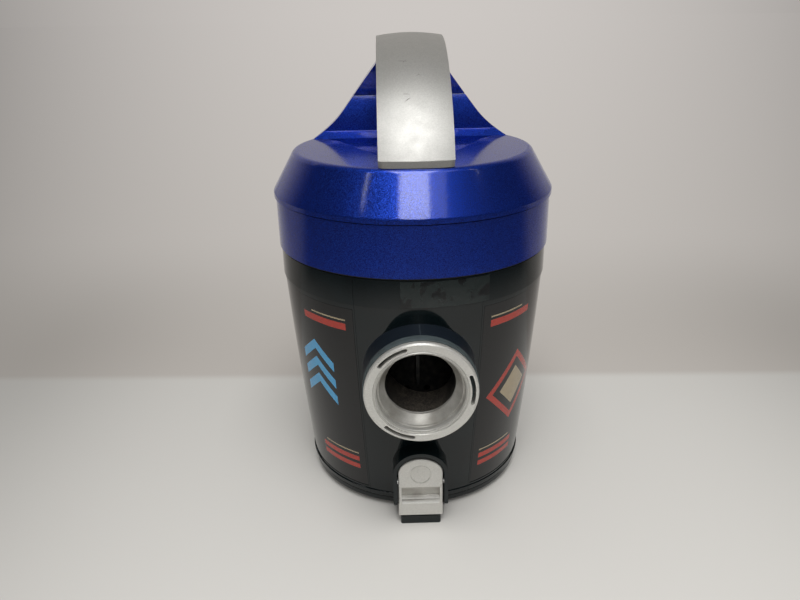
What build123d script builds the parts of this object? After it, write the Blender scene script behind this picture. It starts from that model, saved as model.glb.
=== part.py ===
import os
from math import asin, cos, degrees, hypot, radians, sin, sqrt

from build123d import *

os.makedirs("parts", exist_ok=True)

# Driving dimensions in millimetres. The cup's axis is Z, the table is z = 0 and the inlet faces -Y.

# Clearances
seat_gap = 0.15  # between pieces that are fixed together
moving_gap = 0.35  # between pieces that move apart
pin_gap = 0.05  # radial, round a hinge pin

# Bottom flap
flap_top = 7.2
flap_inset = 0.4
flap_gap = 0.2
flap_rim_height = 2.8
flap_floor = 2.6
flap_underside = 2.2
foot_inset = 12.6
foot_width = 4.0
foot_boss = 12.0
plug_height = 3.8
plug_wall = 2.0
plug_gap = 0.8
seal_height = 1.2
lug_half = 12.6
lug_drop = 1.6
catch_height = 7.6
catch_thickness = 2.4
hinge_offset = 6.5
hinge_drop = 0.2
knuckle_radius = 4.0
knuckle_half = 9.0
ear_width = 5.0

# Dust cup: a tapering shell whose wall bows out a little, with a straight collar at the top
cup_shoulder_radius = 84.8
cup_taper = 11.8
cup_wall_height = 137.0
cup_collar_height = 17.0
cup_collar_step = 0.5
cup_bow = 0.9
cup_wall = 2.4
bead_height = 3.2
bead_step = 0.6
front_angle = 25.6  # degrees from the front to the joint of the front panel

# Label panels let into the cup's wall
label_start = 26.5  # degrees from the front
label_span = 80.0
label_foot = 4.8
label_head = 3.0
label_recess = 0.8
label_thickness = 0.45

# Hose inlet
spout_rise = 93.4
spout_projection = 21.7
spout_tilt = 3.5
collar_radius = 33.0
collar_wall = 4.6
collar_root = 18.0
ring_inset = 0.7
ring_flange = 6.0
ring_edge = 0.8
gasket_thickness = 2.4
mouth_inset = 7.2
mouth_depth = 2.6
mouth_step = 0.8
funnel_depth = 13.0
funnel_narrowing = 5.3
tube_wall = 2.0
tube_length = 27.0
tube_cut = 12.0
slot_count = 3
slot_span = 34.0
slot_first = 4.0
slot_width = 2.2

# Latch hood and push latch
hood_half = 16.9
hood_height = 43.9
hood_rise = 15.0
hood_wall = 2.4
hood_projection = 11.0
hood_tip = 7.0
latch_side_gap = 0.7
latch_head_gap = 2.7
latch_recess = 1.4
latch_plate = 3.0
latch_pivot_rise = 19.4
latch_pivot_back = 5.2
latch_ear = 2.4
latch_nose = 2.4
pin_radius = 1.5
pad_radius = 5.8
pad_depth = 0.35
pocket_low_rise = 6.4
pocket_groove_rise = 8.6
pocket_bar_rise = 11.4
pocket_high_rise = 18.7
pocket_margin = 2.0
spring_leaf = 0.5
spring_width = 9.0

# Upper band with the separator that hangs from it
band_overhang = 1.1
band_height = 30.1
band_wall = 2.4
spigot_depth = 9.0
cup_seal_height = 1.0
deck_rise = 3.0
deck_thickness = 2.4
deck_lip = 6.0
ledge_width = 4.0
outlet_half = 31.0
outlet_sill = 1.6
outlet_head = 6.0
outlet_flange = 5.0
outlet_projection = 2.0
outlet_gasket_depth = 1.5
grille_bars = 7
grille_bar = 2.0
plate_margin = 8.0
plate_thickness = 2.4
cone_count = 6
cone_web = 1.0
cone_tip_radius = 6.5
cone_length = 70.0
cone_wall = 1.8
finder_radius = 6.0
finder_length = 22.0
dust_gap = 25.0
screen_wall = 2.0
screen_rise = 27.4
hole_rows = 4
hole_columns = 24
hole_radius = 2.3
hole_rise = 10.0
hole_pitch = 9.5
skirt_flare = 10.0
skirt_drop = 9.0
fine_tube_radius = 23.0
fine_tube_wall = 2.0
funnel_drop = 16.0
centre_seal_margin = 4.0
vane_length = 12.0
vane_thickness = 2.0
vane_below = 18.0
vane_above = 24.0

# Filter under the lid
filter_margin = 24.0
filter_wall = 2.6
filter_height = 18.0
filter_seal_height = 1.6
pleat_count = 16
pleat_height = 13.0
pleat_sheet = 1.2

# Lid
lid_gap = 0.8
lid_overhang = 1.1
lid_height = 26.65
lid_lip = 2.8
lid_slope = 13.7
lid_edge = 4.0
lid_wall = 2.4
lid_skirt = 7.0
lid_skirt_wall = 1.8
scoop_depth = 3.2
scoop_front_inset = 23.8
scoop_front_half = 17.0
scoop_side_inset = 27.8
scoop_side_back = 17.5
scoop_rear_inset = 14.3

# Handle: a long front arc and a tight rear arc that meet at the top
handle_rise = 65.5
handle_lean = 63.4  # slope of the front leg at its foot, in degrees
handle_foot_inset = 0.4
handle_rear_inset = 1.2
handle_half = 20.75
handle_crown = 1.8
handle_depth = 14.0
handle_edge = 4.0
trim_wall = 2.0
trim_skirt = 7.0
trim_foot = 3.6
parting_lift = 1.0
parting_line = 0.5
pylon_back = 3.85
pylon_toe = 6.0
pylon_toe_rise = 4.2
pylon_rake = 3.0
pylon_brow_reach = 16.5
pylon_root_depth = 8.0
pylon_rim_inset = 0.7
bell_top_margin = 1.25
bell_top_drop = 19.0
bell_mid_inset = 30.0
bell_mid_rise = 17.8
flare_inset = 9.4
screw_radius = 1.6
screw_head = 3.2
screw_spread = 9.0
screw_depth = 9.0

# Heights and radii that follow from the ones above
cup_foot = flap_top + seal_height + flap_gap
cup_shoulder = cup_foot + cup_wall_height
cup_top = cup_shoulder + cup_collar_height
cup_base_radius = cup_shoulder_radius - cup_taper
cup_top_radius = cup_shoulder_radius + cup_collar_step
flap_rim = cup_base_radius - flap_inset
foot_ring = flap_rim - foot_inset
lug_top = flap_top - lug_drop
hinge_y = cup_base_radius + hinge_offset
hinge_z = flap_top - hinge_drop
label_low = cup_foot + label_foot
label_high = cup_shoulder - label_head
spout_z = cup_foot + spout_rise
collar_bore = collar_radius - collar_wall
ring_radius = collar_radius - ring_inset
mouth_radius = collar_radius - mouth_inset
tube_bore = mouth_radius - funnel_narrowing
hood_top = cup_foot + hood_height
latch_pivot_z = cup_foot + latch_pivot_rise
pocket_low = cup_foot + pocket_low_rise
pocket_groove = cup_foot + pocket_groove_rise
pocket_bar = cup_foot + pocket_bar_rise
pocket_high = cup_foot + pocket_high_rise
band_radius = cup_top_radius + band_overhang
band_bore = band_radius - band_wall
band_foot = cup_top + moving_gap + cup_seal_height
band_top = band_foot + band_height
deck_z = band_foot + deck_rise
deck_top = deck_z + deck_thickness
outlet_face = band_radius + outlet_projection
outlet_low = deck_top + outlet_sill
outlet_high = band_top - outlet_head
screen_radius = cup_base_radius - dust_gap
screen_bore = screen_radius - screen_wall
screen_bottom = cup_foot + screen_rise
plate_radius = screen_radius + plate_margin
deck_bore = plate_radius - deck_lip
cone_top_radius = (screen_bore - cone_web) / (1 + 1 / sin(radians(180 / cone_count))) - cone_web
cone_pitch_radius = screen_bore - cone_web - cone_top_radius
hole_low = screen_bottom + hole_rise
skirt_radius = screen_radius + skirt_flare
funnel_low = screen_bottom - funnel_drop
centre_seal_radius = fine_tube_radius + centre_seal_margin
vane_low = spout_z - vane_below
vane_high = spout_z + vane_above
filter_radius = band_bore - filter_margin
lid_foot = band_top + lid_gap
lid_radius = band_radius + lid_overhang
lid_top = lid_foot + lid_height
lid_top_radius = lid_radius - lid_slope
handle_top = lid_top + handle_rise
handle_foot = lid_top_radius - handle_foot_inset
handle_rear = lid_top_radius - handle_rear_inset
lean = radians(handle_lean)
front_radius = handle_rise / (1 - cos(lean))
front_z = handle_top - front_radius
apex_y = front_radius * sin(lean) - handle_foot
rear_radius = handle_rear - apex_y
rear_z = handle_top - rear_radius
parting_z = rear_z + parting_lift
pylon_root = lid_top - pylon_root_depth
pylon_front = apex_y + pylon_back
pylon_brow = pylon_front - pylon_brow_reach
bell_top_half = handle_half + bell_top_margin
bell_top = handle_top - bell_top_drop
bell_mid_half = lid_top_radius - bell_mid_inset
bell_mid = lid_top + bell_mid_rise
scoop_front = lid_top_radius - scoop_front_inset
scoop_side = lid_top_radius - scoop_side_inset
scoop_side_y = pylon_front - scoop_side_back
scoop_rear = lid_top_radius - scoop_rear_inset
scoop_low = lid_top - scoop_depth
wall_chord = hypot(cup_taper, cup_wall_height)
wall_bend = (wall_chord**2 / 4 + cup_bow**2) / (2 * cup_bow)
wall_axis_r = cup_shoulder_radius - cup_taper / 2 - cup_wall_height / wall_chord * (wall_bend - cup_bow)
wall_axis_z = (cup_foot + cup_shoulder) / 2 + cup_taper / wall_chord * (wall_bend - cup_bow)


def wall_radius(z, inset=0.0):
    """Outer radius of the bowed cup wall at a height, or of a surface inset from it."""
    return wall_axis_r + sqrt((wall_bend - inset) ** 2 - (z - wall_axis_z) ** 2)


def wall_arc(low, high, inset=0.0):
    """Arc along the cup wall between two heights."""
    mid = (low + high) / 2
    return ThreePointArc(
        (wall_radius(low, inset), low),
        (wall_radius(mid, inset), mid),
        (wall_radius(high, inset), high),
    )


def radial_plane(azimuth):
    """Plane through the cup's axis at an azimuth counted from the front towards +X."""
    a = radians(azimuth)
    return Plane(origin=(0, 0, 0), x_dir=(sin(a), -cos(a), 0), z_dir=(-cos(a), -sin(a), 0))


# Inlet frame: local Z points out of the mouth, and the section plane holds radius and depth
tilt = radians(spout_tilt)
spout_reach = wall_radius(spout_z) + spout_projection
spout_origin = (0, -spout_reach, spout_z)
spout = Plane(origin=spout_origin, x_dir=(1, 0, 0), z_dir=(0, -cos(tilt), -sin(tilt)))
spout_section = Plane(origin=spout_origin, x_dir=(1, 0, 0), z_dir=(0, sin(tilt), -cos(tilt)))
spout_axis = Axis(spout_origin, (0, -cos(tilt), -sin(tilt)))
collar_setback = ring_flange + gasket_thickness
collar_reach = spout_projection + collar_root
tube_outer = tube_bore + tube_wall
throat_depth = funnel_depth + seat_gap + 5.0

# Latch and hinge positions
hood_front = wall_radius(hood_top) + hood_projection
hood_spring = hood_top - hood_rise
pocket_half = hood_half - hood_wall
pocket_floor = wall_radius(hood_top) + 1.0
latch_half = pocket_half - latch_side_gap
latch_face = hood_front - latch_recess
latch_back = latch_face - latch_plate
latch_top = hood_top - hood_wall - latch_head_gap
latch_foot = lug_top + moving_gap
latch_pivot_y = latch_face - latch_pivot_back
catch_face = latch_back - latch_nose - moving_gap
ear_inner = knuckle_half + moving_gap

# Cup shell with inlet collar, latch hood and hinge ears, before its front panel is parted off
with BuildPart() as cup_form:
    with BuildSketch(Plane.XZ):
        with BuildLine():
            wall_arc(cup_foot, cup_shoulder)
            Polyline(
                (wall_radius(cup_shoulder), cup_shoulder),
                (cup_top_radius, cup_shoulder),
                (cup_top_radius, cup_top),
                (0, cup_top),
                (0, cup_foot),
                (wall_radius(cup_foot), cup_foot),
            )
        make_face()
    revolve(axis=Axis.Z)
    with BuildSketch(Plane.XZ):
        with BuildLine():
            FilletPolyline(
                (cup_base_radius - cup_wall / 2, cup_foot),
                (cup_base_radius + bead_step, cup_foot),
                (wall_radius(cup_foot + bead_height) + bead_step, cup_foot + bead_height),
                (cup_base_radius - cup_wall / 2, cup_foot + bead_height),
                radius=bead_step / 2,
                close=True,
            )
        make_face()
    revolve(axis=Axis.Z)
    with BuildSketch(spout.offset(-collar_setback)):
        Circle(collar_radius)
    extrude(amount=-collar_reach)
    with BuildSketch(Plane.XZ.offset(hood_front)):
        with Locations((0, hood_spring)):
            Ellipse(hood_half, hood_rise)
        with Locations((0, (hood_spring + cup_foot) / 2)):
            Rectangle(2 * hood_half, hood_spring - cup_foot)
    extrude(amount=wall_radius(cup_foot, cup_wall) - hood_front - cup_wall)
    with BuildSketch(Plane.XZ.offset(hood_front)):
        with Locations((0, hood_spring)):
            Ellipse(pocket_half, hood_rise - hood_wall)
        with Locations((0, hood_spring / 2)):
            Rectangle(2 * pocket_half, hood_spring)
    extrude(amount=pocket_floor - hood_front, mode=Mode.SUBTRACT)
    with BuildSketch(Plane.XZ.offset(hood_front)):
        with Locations((0, cup_foot)):
            Rectangle(2 * pocket_half, 2 * (lug_top + catch_height + 2 - cup_foot))
    extrude(amount=catch_face - catch_thickness - 2 * moving_gap - hood_front, mode=Mode.SUBTRACT)
    with BuildSketch(Plane.YZ):
        with BuildLine():
            Polyline(
                (-hood_front - 1, cup_foot - 1),
                (-hood_front - 1, cup_foot + hood_tip + 1),
                (-hood_front + hood_tip + 2, cup_foot - 1),
                close=True,
            )
        make_face()
    extrude(amount=hood_half + 1, both=True, mode=Mode.SUBTRACT)
    for side in (-1, 1):
        with BuildSketch(Plane.YZ.offset(side * (ear_inner + ear_width / 2))):
            with Locations((hinge_y, hinge_z)):
                Circle(knuckle_radius)
            with Locations((cup_base_radius - cup_wall, cup_foot + 2.2 * knuckle_radius)):
                Rectangle(cup_wall, 3.2 * knuckle_radius)
            make_hull()
        extrude(amount=ear_width / 2, both=True)
    with BuildSketch(Plane.XZ):
        with BuildLine():
            wall_arc(cup_foot - 2, cup_shoulder, cup_wall)
            Polyline(
                (wall_radius(cup_shoulder, cup_wall), cup_shoulder),
                (cup_top_radius - cup_wall, cup_shoulder),
                (cup_top_radius - cup_wall, cup_top + 1),
                (0, cup_top + 1),
                (0, cup_foot - 2),
                (wall_radius(cup_foot - 2, cup_wall), cup_foot - 2),
            )
        make_face()
    revolve(axis=Axis.Z, mode=Mode.SUBTRACT)
    with BuildSketch(spout):
        Circle(collar_bore)
    extrude(amount=-throat_depth, mode=Mode.SUBTRACT)
    with BuildSketch(spout):
        Circle(tube_outer + seat_gap)
    extrude(amount=-collar_setback - collar_reach - 1, mode=Mode.SUBTRACT)
    for start in (label_start, -label_start - label_span):
        with BuildSketch(radial_plane(start)):
            with BuildLine():
                wall_arc(label_low, label_high, label_recess)
                Polyline(
                    (wall_radius(label_high, label_recess), label_high),
                    (wall_radius(label_high) + 3, label_high),
                    (wall_radius(label_low) + 3, label_low),
                    (wall_radius(label_low, label_recess), label_low),
                )
            make_face()
        revolve(axis=Axis.Z, revolution_arc=label_span, mode=Mode.SUBTRACT)
    with BuildSketch(Plane.YZ):
        with Locations((-latch_pivot_y, latch_pivot_z), (hinge_y, hinge_z)):
            Circle(pin_radius + pin_gap)
    extrude(amount=hood_half + ear_inner + ear_width, both=True, mode=Mode.SUBTRACT)


def front_sector(setback):
    """Sector of the plan that holds the front panel, its point set back along Y."""
    reach = 2 * spout_reach
    half = reach * sin(radians(front_angle)) / cos(radians(front_angle))
    with BuildSketch() as sector:
        with BuildLine():
            Polyline((0, setback), (half, setback - reach), (-half, setback - reach), close=True)
        make_face()
    return sector.sketch


# Front panel with the inlet collar and the latch hood
with BuildPart() as cup_front:
    add(cup_form.part)
    with BuildSketch():
        add(front_sector(0))
    extrude(amount=band_foot, mode=Mode.INTERSECT)
cup_front.part.label = "cup_front"
export_step(cup_front.part, "parts/cup_front.step")

# Dust cup: the rest of the wall, with the hinge ears, welded to the front panel
with BuildPart() as dust_cup:
    add(cup_form.part)
    with BuildSketch():
        add(front_sector(seat_gap / sin(radians(front_angle))))
    extrude(amount=band_foot, mode=Mode.SUBTRACT)
dust_cup.part.label = "dust_cup"
export_step(dust_cup.part, "parts/dust_cup.step")


def label_panel(start):
    """Thin curved panel that lies in the recess of the cup wall."""
    margin = degrees(2 * seat_gap / cup_base_radius)
    low = label_low + 2 * seat_gap
    high = label_high - 2 * seat_gap
    inner = label_recess - seat_gap / 2
    outer = inner - label_thickness
    with BuildPart() as panel:
        with BuildSketch(radial_plane(start + margin)):
            with BuildLine():
                wall_arc(low, high, inner)
                wall_arc(low, high, outer)
                Line((wall_radius(low, inner), low), (wall_radius(low, outer), low))
                Line((wall_radius(high, inner), high), (wall_radius(high, outer), high))
            make_face()
        revolve(axis=Axis.Z, revolution_arc=label_span - 2 * margin)
    return panel


label_right = label_panel(label_start)
label_right.part.label = "label_right"
export_step(label_right.part, "parts/label_right.step")
label_left = label_panel(-label_start - label_span)
label_left.part.label = "label_left"
export_step(label_left.part, "parts/label_left.step")

# Pale gasket between the collar and the ring
with BuildPart() as inlet_gasket:
    with BuildSketch(spout.offset(-collar_setback)):
        Circle(collar_radius)
        Circle(collar_bore, mode=Mode.SUBTRACT)
    extrude(amount=gasket_thickness)
inlet_gasket.part.label = "inlet_gasket"
export_step(inlet_gasket.part, "parts/inlet_gasket.step")

# Silver ring: a slotted flange and a funnel that narrows to the tube
skirt_outer = collar_bore - seat_gap
with BuildPart() as inlet_ring:
    with BuildSketch(spout_section):
        with BuildLine():
            Polyline(
                (skirt_outer, -ring_flange),
                (ring_radius, -ring_flange),
                (ring_radius, -ring_edge),
                (ring_radius - ring_edge, 0),
                (mouth_radius + 2 * mouth_step, 0),
                (mouth_radius + 1.5 * mouth_step, -mouth_step / 2),
                (mouth_radius + mouth_step, 0),
                (mouth_radius + mouth_step, -mouth_step),
                (mouth_radius, -mouth_step),
                (mouth_radius, -mouth_depth),
                (tube_bore, -funnel_depth),
                (tube_outer, -funnel_depth),
                (skirt_outer, -funnel_depth + 4),
                close=True,
            )
        make_face()
    revolve(axis=spout_axis)
    slot_radius = (ring_radius - ring_edge + mouth_radius + 2 * mouth_step) / 2
    slot_arc = CenterArc((0, 0), slot_radius, slot_first - slot_span / 2, slot_span)
    with BuildSketch(spout):
        with PolarLocations(0, slot_count):
            SlotArc(slot_arc, slot_width)
    extrude(amount=-ring_flange, mode=Mode.SUBTRACT)
inlet_ring.part.label = "inlet_ring"
export_step(inlet_ring.part, "parts/inlet_ring.step")

# Tube that leads the air into the cup, its end cut on the slant so that the stream turns
with BuildPart() as inlet_tube:
    with BuildSketch(spout.offset(-funnel_depth - seat_gap)):
        Circle(tube_outer)
        Circle(tube_bore, mode=Mode.SUBTRACT)
    extrude(amount=-tube_length)
    with BuildSketch(Plane.XY.offset(spout_z - collar_radius)):
        with BuildLine():
            tip = spout_reach - funnel_depth - tube_length - 2 * tube_wall
            Polyline(
                (-tube_outer - 2, -tip),
                (tube_outer + 2, -tip),
                (tube_outer + 2, -tip - tube_cut - 2 * tube_wall),
                close=True,
            )
        make_face()
    extrude(amount=2 * collar_radius, mode=Mode.SUBTRACT)
inlet_tube.part.label = "inlet_tube"
export_step(inlet_tube.part, "parts/inlet_tube.step")

# Pins
with BuildPart() as hinge_pin:
    with BuildSketch(Plane.YZ.offset(-ear_inner - ear_width)):
        with Locations((hinge_y, hinge_z)):
            Circle(pin_radius)
    extrude(amount=2 * (ear_inner + ear_width))
hinge_pin.part.label = "hinge_pin"
export_step(hinge_pin.part, "parts/hinge_pin.step")

with BuildPart() as latch_pin:
    with BuildSketch(Plane.YZ.offset(-hood_half)):
        with Locations((-latch_pivot_y, latch_pivot_z)):
            Circle(pin_radius)
    extrude(amount=2 * hood_half)
latch_pin.part.label = "latch_pin"
export_step(latch_pin.part, "parts/latch_pin.step")

# Bowed leaf spring behind the push pad
leaf_top = latch_top - 2
leaf_low = latch_pivot_z + 2 * pin_radius + 2
leaf_mid = (leaf_top + leaf_low) / 2
leaf_floor = pocket_floor + seat_gap
leaf_crest = latch_back - moving_gap
with BuildPart() as latch_spring:
    with BuildSketch(Plane.YZ.offset(-spring_width / 2)):
        with BuildLine():
            ThreePointArc((-leaf_floor, leaf_low), (-leaf_crest, leaf_mid), (-leaf_floor, leaf_top))
            ThreePointArc(
                (-leaf_floor, leaf_low + 2 * spring_leaf),
                (-leaf_crest + spring_leaf, leaf_mid),
                (-leaf_floor, leaf_top - 2 * spring_leaf),
            )
            Line((-leaf_floor, leaf_low), (-leaf_floor, leaf_low + 2 * spring_leaf))
            Line((-leaf_floor, leaf_top), (-leaf_floor, leaf_top - 2 * spring_leaf))
        make_face()
    extrude(amount=spring_width)
latch_spring.part.label = "latch_spring"
export_step(latch_spring.part, "parts/latch_spring.step")

# Push latch: arched plate with a push pad, a stepped pocket, pivot ears and a hook nose
with BuildPart() as push_latch:
    with BuildSketch(Plane.XZ.offset(latch_back)):
        with Locations((0, hood_spring)):
            Ellipse(latch_half, latch_top - hood_spring)
        with Locations((0, (hood_spring + latch_foot) / 2)):
            Rectangle(2 * latch_half, hood_spring - latch_foot)
    extrude(amount=latch_plate)
    front_edges = push_latch.faces().sort_by(Axis.Y)[0].edges()
    fillet(front_edges, radius=0.8)
    with BuildSketch(Plane.YZ):
        with BuildLine():
            Polyline(
                (-latch_face - 1, pocket_low),
                (-latch_face, pocket_low),
                (-latch_face + 0.4 * latch_plate, pocket_groove - 0.4),
                (-latch_face + 0.55 * latch_plate, pocket_groove),
                (-latch_face + 0.15 * latch_plate, pocket_groove + 1),
                (-latch_face + 0.55 * latch_plate, pocket_bar),
                (-latch_face + 0.75 * latch_plate, pocket_bar + 0.2),
                (-latch_face + 0.2 * latch_plate, pocket_high),
                (-latch_face - 1, pocket_high),
                close=True,
            )
        make_face()
    extrude(amount=latch_half - pocket_margin, both=True, mode=Mode.SUBTRACT)
    with BuildSketch(Plane.XZ.offset(latch_face)):
        with Locations((0, (latch_top + pocket_high) / 2 - 1)):
            Circle(pad_radius)
    extrude(amount=-pad_depth, mode=Mode.SUBTRACT)
    for side in (-1, 1):
        with BuildSketch(Plane.YZ.offset(side * (latch_half - latch_ear / 2))):
            with Locations((-latch_pivot_y, latch_pivot_z)):
                Circle(2 * pin_radius)
            with Locations((-latch_back - latch_plate / 4, latch_pivot_z)):
                Rectangle(latch_plate / 2, 6 * pin_radius)
            make_hull()
        extrude(amount=latch_ear / 2, both=True)
    with BuildSketch(Plane.YZ):
        with Locations((-latch_pivot_y, latch_pivot_z)):
            Circle(pin_radius + pin_gap)
    extrude(amount=hood_half, both=True, mode=Mode.SUBTRACT)
    with BuildSketch(Plane.YZ):
        with BuildLine():
            Polyline(
                (-latch_back - latch_plate / 4, latch_foot + 1),
                (-latch_back + latch_nose, latch_foot + 1.6),
                (-latch_back + latch_nose, latch_foot + 3),
                (-latch_back - latch_plate / 4, latch_foot + 5.4),
                close=True,
            )
        make_face()
    extrude(amount=lug_half - 3, both=True)
push_latch.part.label = "push_latch"
export_step(push_latch.part, "parts/push_latch.step")

# Bottom flap: shallow dish with a plug ring, a foot ring, a front lug and a hinge knuckle
plug_radius = wall_radius(cup_foot, cup_wall) - plug_gap
with BuildPart() as bottom_flap:
    with BuildSketch(Plane.XZ):
        with BuildLine():
            Polyline(
                (0, 0),
                (foot_boss, 0),
                (foot_boss + 1, flap_underside),
                (foot_ring - foot_width / 2 - 1, flap_underside),
                (foot_ring - foot_width / 2, 0),
                (foot_ring + foot_width / 2, 0),
                (foot_ring + foot_width / 2 + 1, flap_underside),
                (flap_rim - 3, flap_top - flap_rim_height - 1),
                (flap_rim, flap_top - flap_rim_height),
                (flap_rim, flap_top),
                (plug_radius, flap_top),
                (plug_radius, flap_top + plug_height),
                (plug_radius - plug_wall, flap_top + plug_height),
                (plug_radius - plug_wall - 1, flap_underside + flap_floor),
                (0, flap_underside + flap_floor),
                close=True,
            )
        make_face()
    revolve(axis=Axis.Z)
    with BuildSketch(Plane.XY):
        with Locations((0, -(latch_face + plug_radius) / 2)):
            RectangleRounded(2 * lug_half, latch_face - plug_radius, 1.5)
    extrude(amount=lug_top)
    with BuildSketch(Plane.XY.offset(lug_top - 1)):
        with Locations((0, -catch_face + catch_thickness / 2)):
            Rectangle(2 * lug_half - 4, catch_thickness)
    extrude(amount=catch_height)
    with BuildSketch(Plane.XY.offset(flap_top - flap_rim_height)):
        with Locations((0, (flap_rim + hinge_y) / 2 - 2)):
            Rectangle(2 * knuckle_half, hinge_y - flap_rim + 4)
    extrude(amount=flap_rim_height)
    with BuildSketch(Plane.YZ.offset(-knuckle_half)):
        with Locations((hinge_y, hinge_z)):
            Circle(knuckle_radius)
    extrude(amount=2 * knuckle_half)
    with BuildSketch(Plane.YZ.offset(-knuckle_half)):
        with Locations((hinge_y, hinge_z)):
            Circle(pin_radius + pin_gap)
    extrude(amount=2 * knuckle_half, mode=Mode.SUBTRACT)
bottom_flap.part.label = "bottom_flap"
export_step(bottom_flap.part, "parts/bottom_flap.step")

with BuildPart() as flap_seal:
    with BuildSketch(Plane.XY.offset(flap_top)):
        Circle(flap_rim - seat_gap)
        Circle(plug_radius + seat_gap, mode=Mode.SUBTRACT)
    extrude(amount=seal_height)
flap_seal.part.label = "flap_seal"
export_step(flap_seal.part, "parts/flap_seal.step")

centre_seal_top = flap_underside + flap_floor + seal_height
with BuildPart() as centre_seal:
    with BuildSketch(Plane.XY.offset(flap_underside + flap_floor)):
        Circle(centre_seal_radius)
    extrude(amount=seal_height)
centre_seal.part.label = "centre_seal"
export_step(centre_seal.part, "parts/centre_seal.step")

# Upper band: the blue ring with a spigot in the cup, a ledge for the deck and the flat rear outlet
spigot_radius = cup_top_radius - cup_wall - moving_gap
spigot_bore = spigot_radius - cup_wall
ledge_bore = spigot_bore - ledge_width
flange_half = outlet_half + outlet_flange
outlet_mid = (outlet_low + outlet_high) / 2
outlet_size = outlet_high - outlet_low
flange_size = outlet_size + 2 * outlet_flange
with BuildPart() as upper_band:
    with BuildSketch(Plane.XZ):
        with BuildLine():
            Polyline(
                (0, band_foot - spigot_depth),
                (spigot_radius, band_foot - spigot_depth),
                (spigot_radius, band_foot),
                (band_radius, band_foot),
                (band_radius, band_top),
                (0, band_top),
                close=True,
            )
        make_face()
    revolve(axis=Axis.Z)
    with BuildSketch(Plane.XZ.offset(-outlet_face)):
        with Locations((0, outlet_mid)):
            RectangleRounded(2 * flange_half, flange_size, outlet_flange / 2)
    extrude(amount=outlet_face - band_bore + outlet_flange)
    with BuildSketch(Plane.XZ):
        with BuildLine():
            Polyline(
                (0, band_foot - spigot_depth - 1),
                (spigot_bore, band_foot - spigot_depth - 1),
                (spigot_bore, band_foot),
                (ledge_bore, band_foot),
                (ledge_bore, deck_z),
                (band_bore, deck_z),
                (band_bore, band_top + 1),
                (0, band_top + 1),
                close=True,
            )
        make_face()
    revolve(axis=Axis.Z, mode=Mode.SUBTRACT)
    with BuildSketch(Plane.XZ.offset(-outlet_face)):
        with Locations((0, outlet_mid)):
            Rectangle(2 * outlet_half, outlet_size)
    extrude(amount=outlet_face - deck_bore, mode=Mode.SUBTRACT)
upper_band.part.label = "upper_band"
export_step(upper_band.part, "parts/upper_band.step")

# Deck that lies on the band's ledge and carries the separator
with BuildPart() as filter_deck:
    with BuildSketch(Plane.XY.offset(deck_z + seat_gap / 2)):
        Circle(band_bore - seat_gap)
        Circle(deck_bore, mode=Mode.SUBTRACT)
    extrude(amount=deck_thickness - seat_gap)
filter_deck.part.label = "filter_deck"
export_step(filter_deck.part, "parts/filter_deck.step")

with BuildPart() as cup_seal:
    with BuildSketch(Plane.XY.offset(band_foot - cup_seal_height)):
        Circle(cup_top_radius)
        Circle(spigot_radius + seat_gap, mode=Mode.SUBTRACT)
    extrude(amount=cup_seal_height)
cup_seal.part.label = "cup_seal"
export_step(cup_seal.part, "parts/cup_seal.step")

# Barred grille in the rear outlet and the gasket round it
grille_half = outlet_half - seat_gap
grille_size = outlet_size - 2 * seat_gap
grille_window = 2 * (grille_half - grille_bar)
with BuildPart() as outlet_grille:
    with BuildSketch(Plane.XZ.offset(-outlet_face + outlet_gasket_depth)):
        with Locations((0, outlet_mid)):
            Rectangle(2 * grille_half, grille_size)
            Rectangle(grille_window, grille_size - 2 * grille_bar, mode=Mode.SUBTRACT)
            with GridLocations(grille_window / (grille_bars + 1), 0, grille_bars, 1):
                Rectangle(grille_bar, grille_size - grille_bar)
    extrude(amount=grille_bar)
outlet_grille.part.label = "outlet_grille"
export_step(outlet_grille.part, "parts/outlet_grille.step")

with BuildPart() as outlet_gasket:
    with BuildSketch(Plane.XZ.offset(-outlet_face)):
        with Locations((0, outlet_mid)):
            RectangleRounded(2 * flange_half - 2, flange_size - 2, outlet_flange / 2)
            Rectangle(2 * outlet_half + 2, outlet_size + 2, mode=Mode.SUBTRACT)
    extrude(amount=-outlet_gasket_depth)
outlet_gasket.part.label = "outlet_gasket"
export_step(outlet_gasket.part, "parts/outlet_gasket.step")

# Ring of small cyclone cones under the deck
cone_flange = deck_z - seat_gap - plate_thickness
cone_low = cone_flange - cone_length
with BuildPart() as cone_cluster:
    with BuildSketch(Plane.XY.offset(cone_flange)):
        Circle(plate_radius)
    extrude(amount=plate_thickness)
    with Locations((0, 0, cone_low)):
        with PolarLocations(cone_pitch_radius, cone_count):
            Cone(cone_tip_radius, cone_top_radius, cone_length, align=(Align.CENTER, Align.CENTER, Align.MIN))
    with Locations((0, 0, cone_low)):
        with PolarLocations(cone_pitch_radius, cone_count):
            Cone(
                cone_tip_radius - cone_wall,
                cone_top_radius - cone_wall,
                cone_length,
                align=(Align.CENTER, Align.CENTER, Align.MIN),
                mode=Mode.SUBTRACT,
            )
    with BuildSketch(Plane.XY.offset(cone_flange)):
        with PolarLocations(cone_pitch_radius, cone_count):
            Circle(cone_top_radius - cone_wall)
    extrude(amount=plate_thickness, mode=Mode.SUBTRACT)
cone_cluster.part.label = "cone_cluster"
export_step(cone_cluster.part, "parts/cone_cluster.step")

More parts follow.
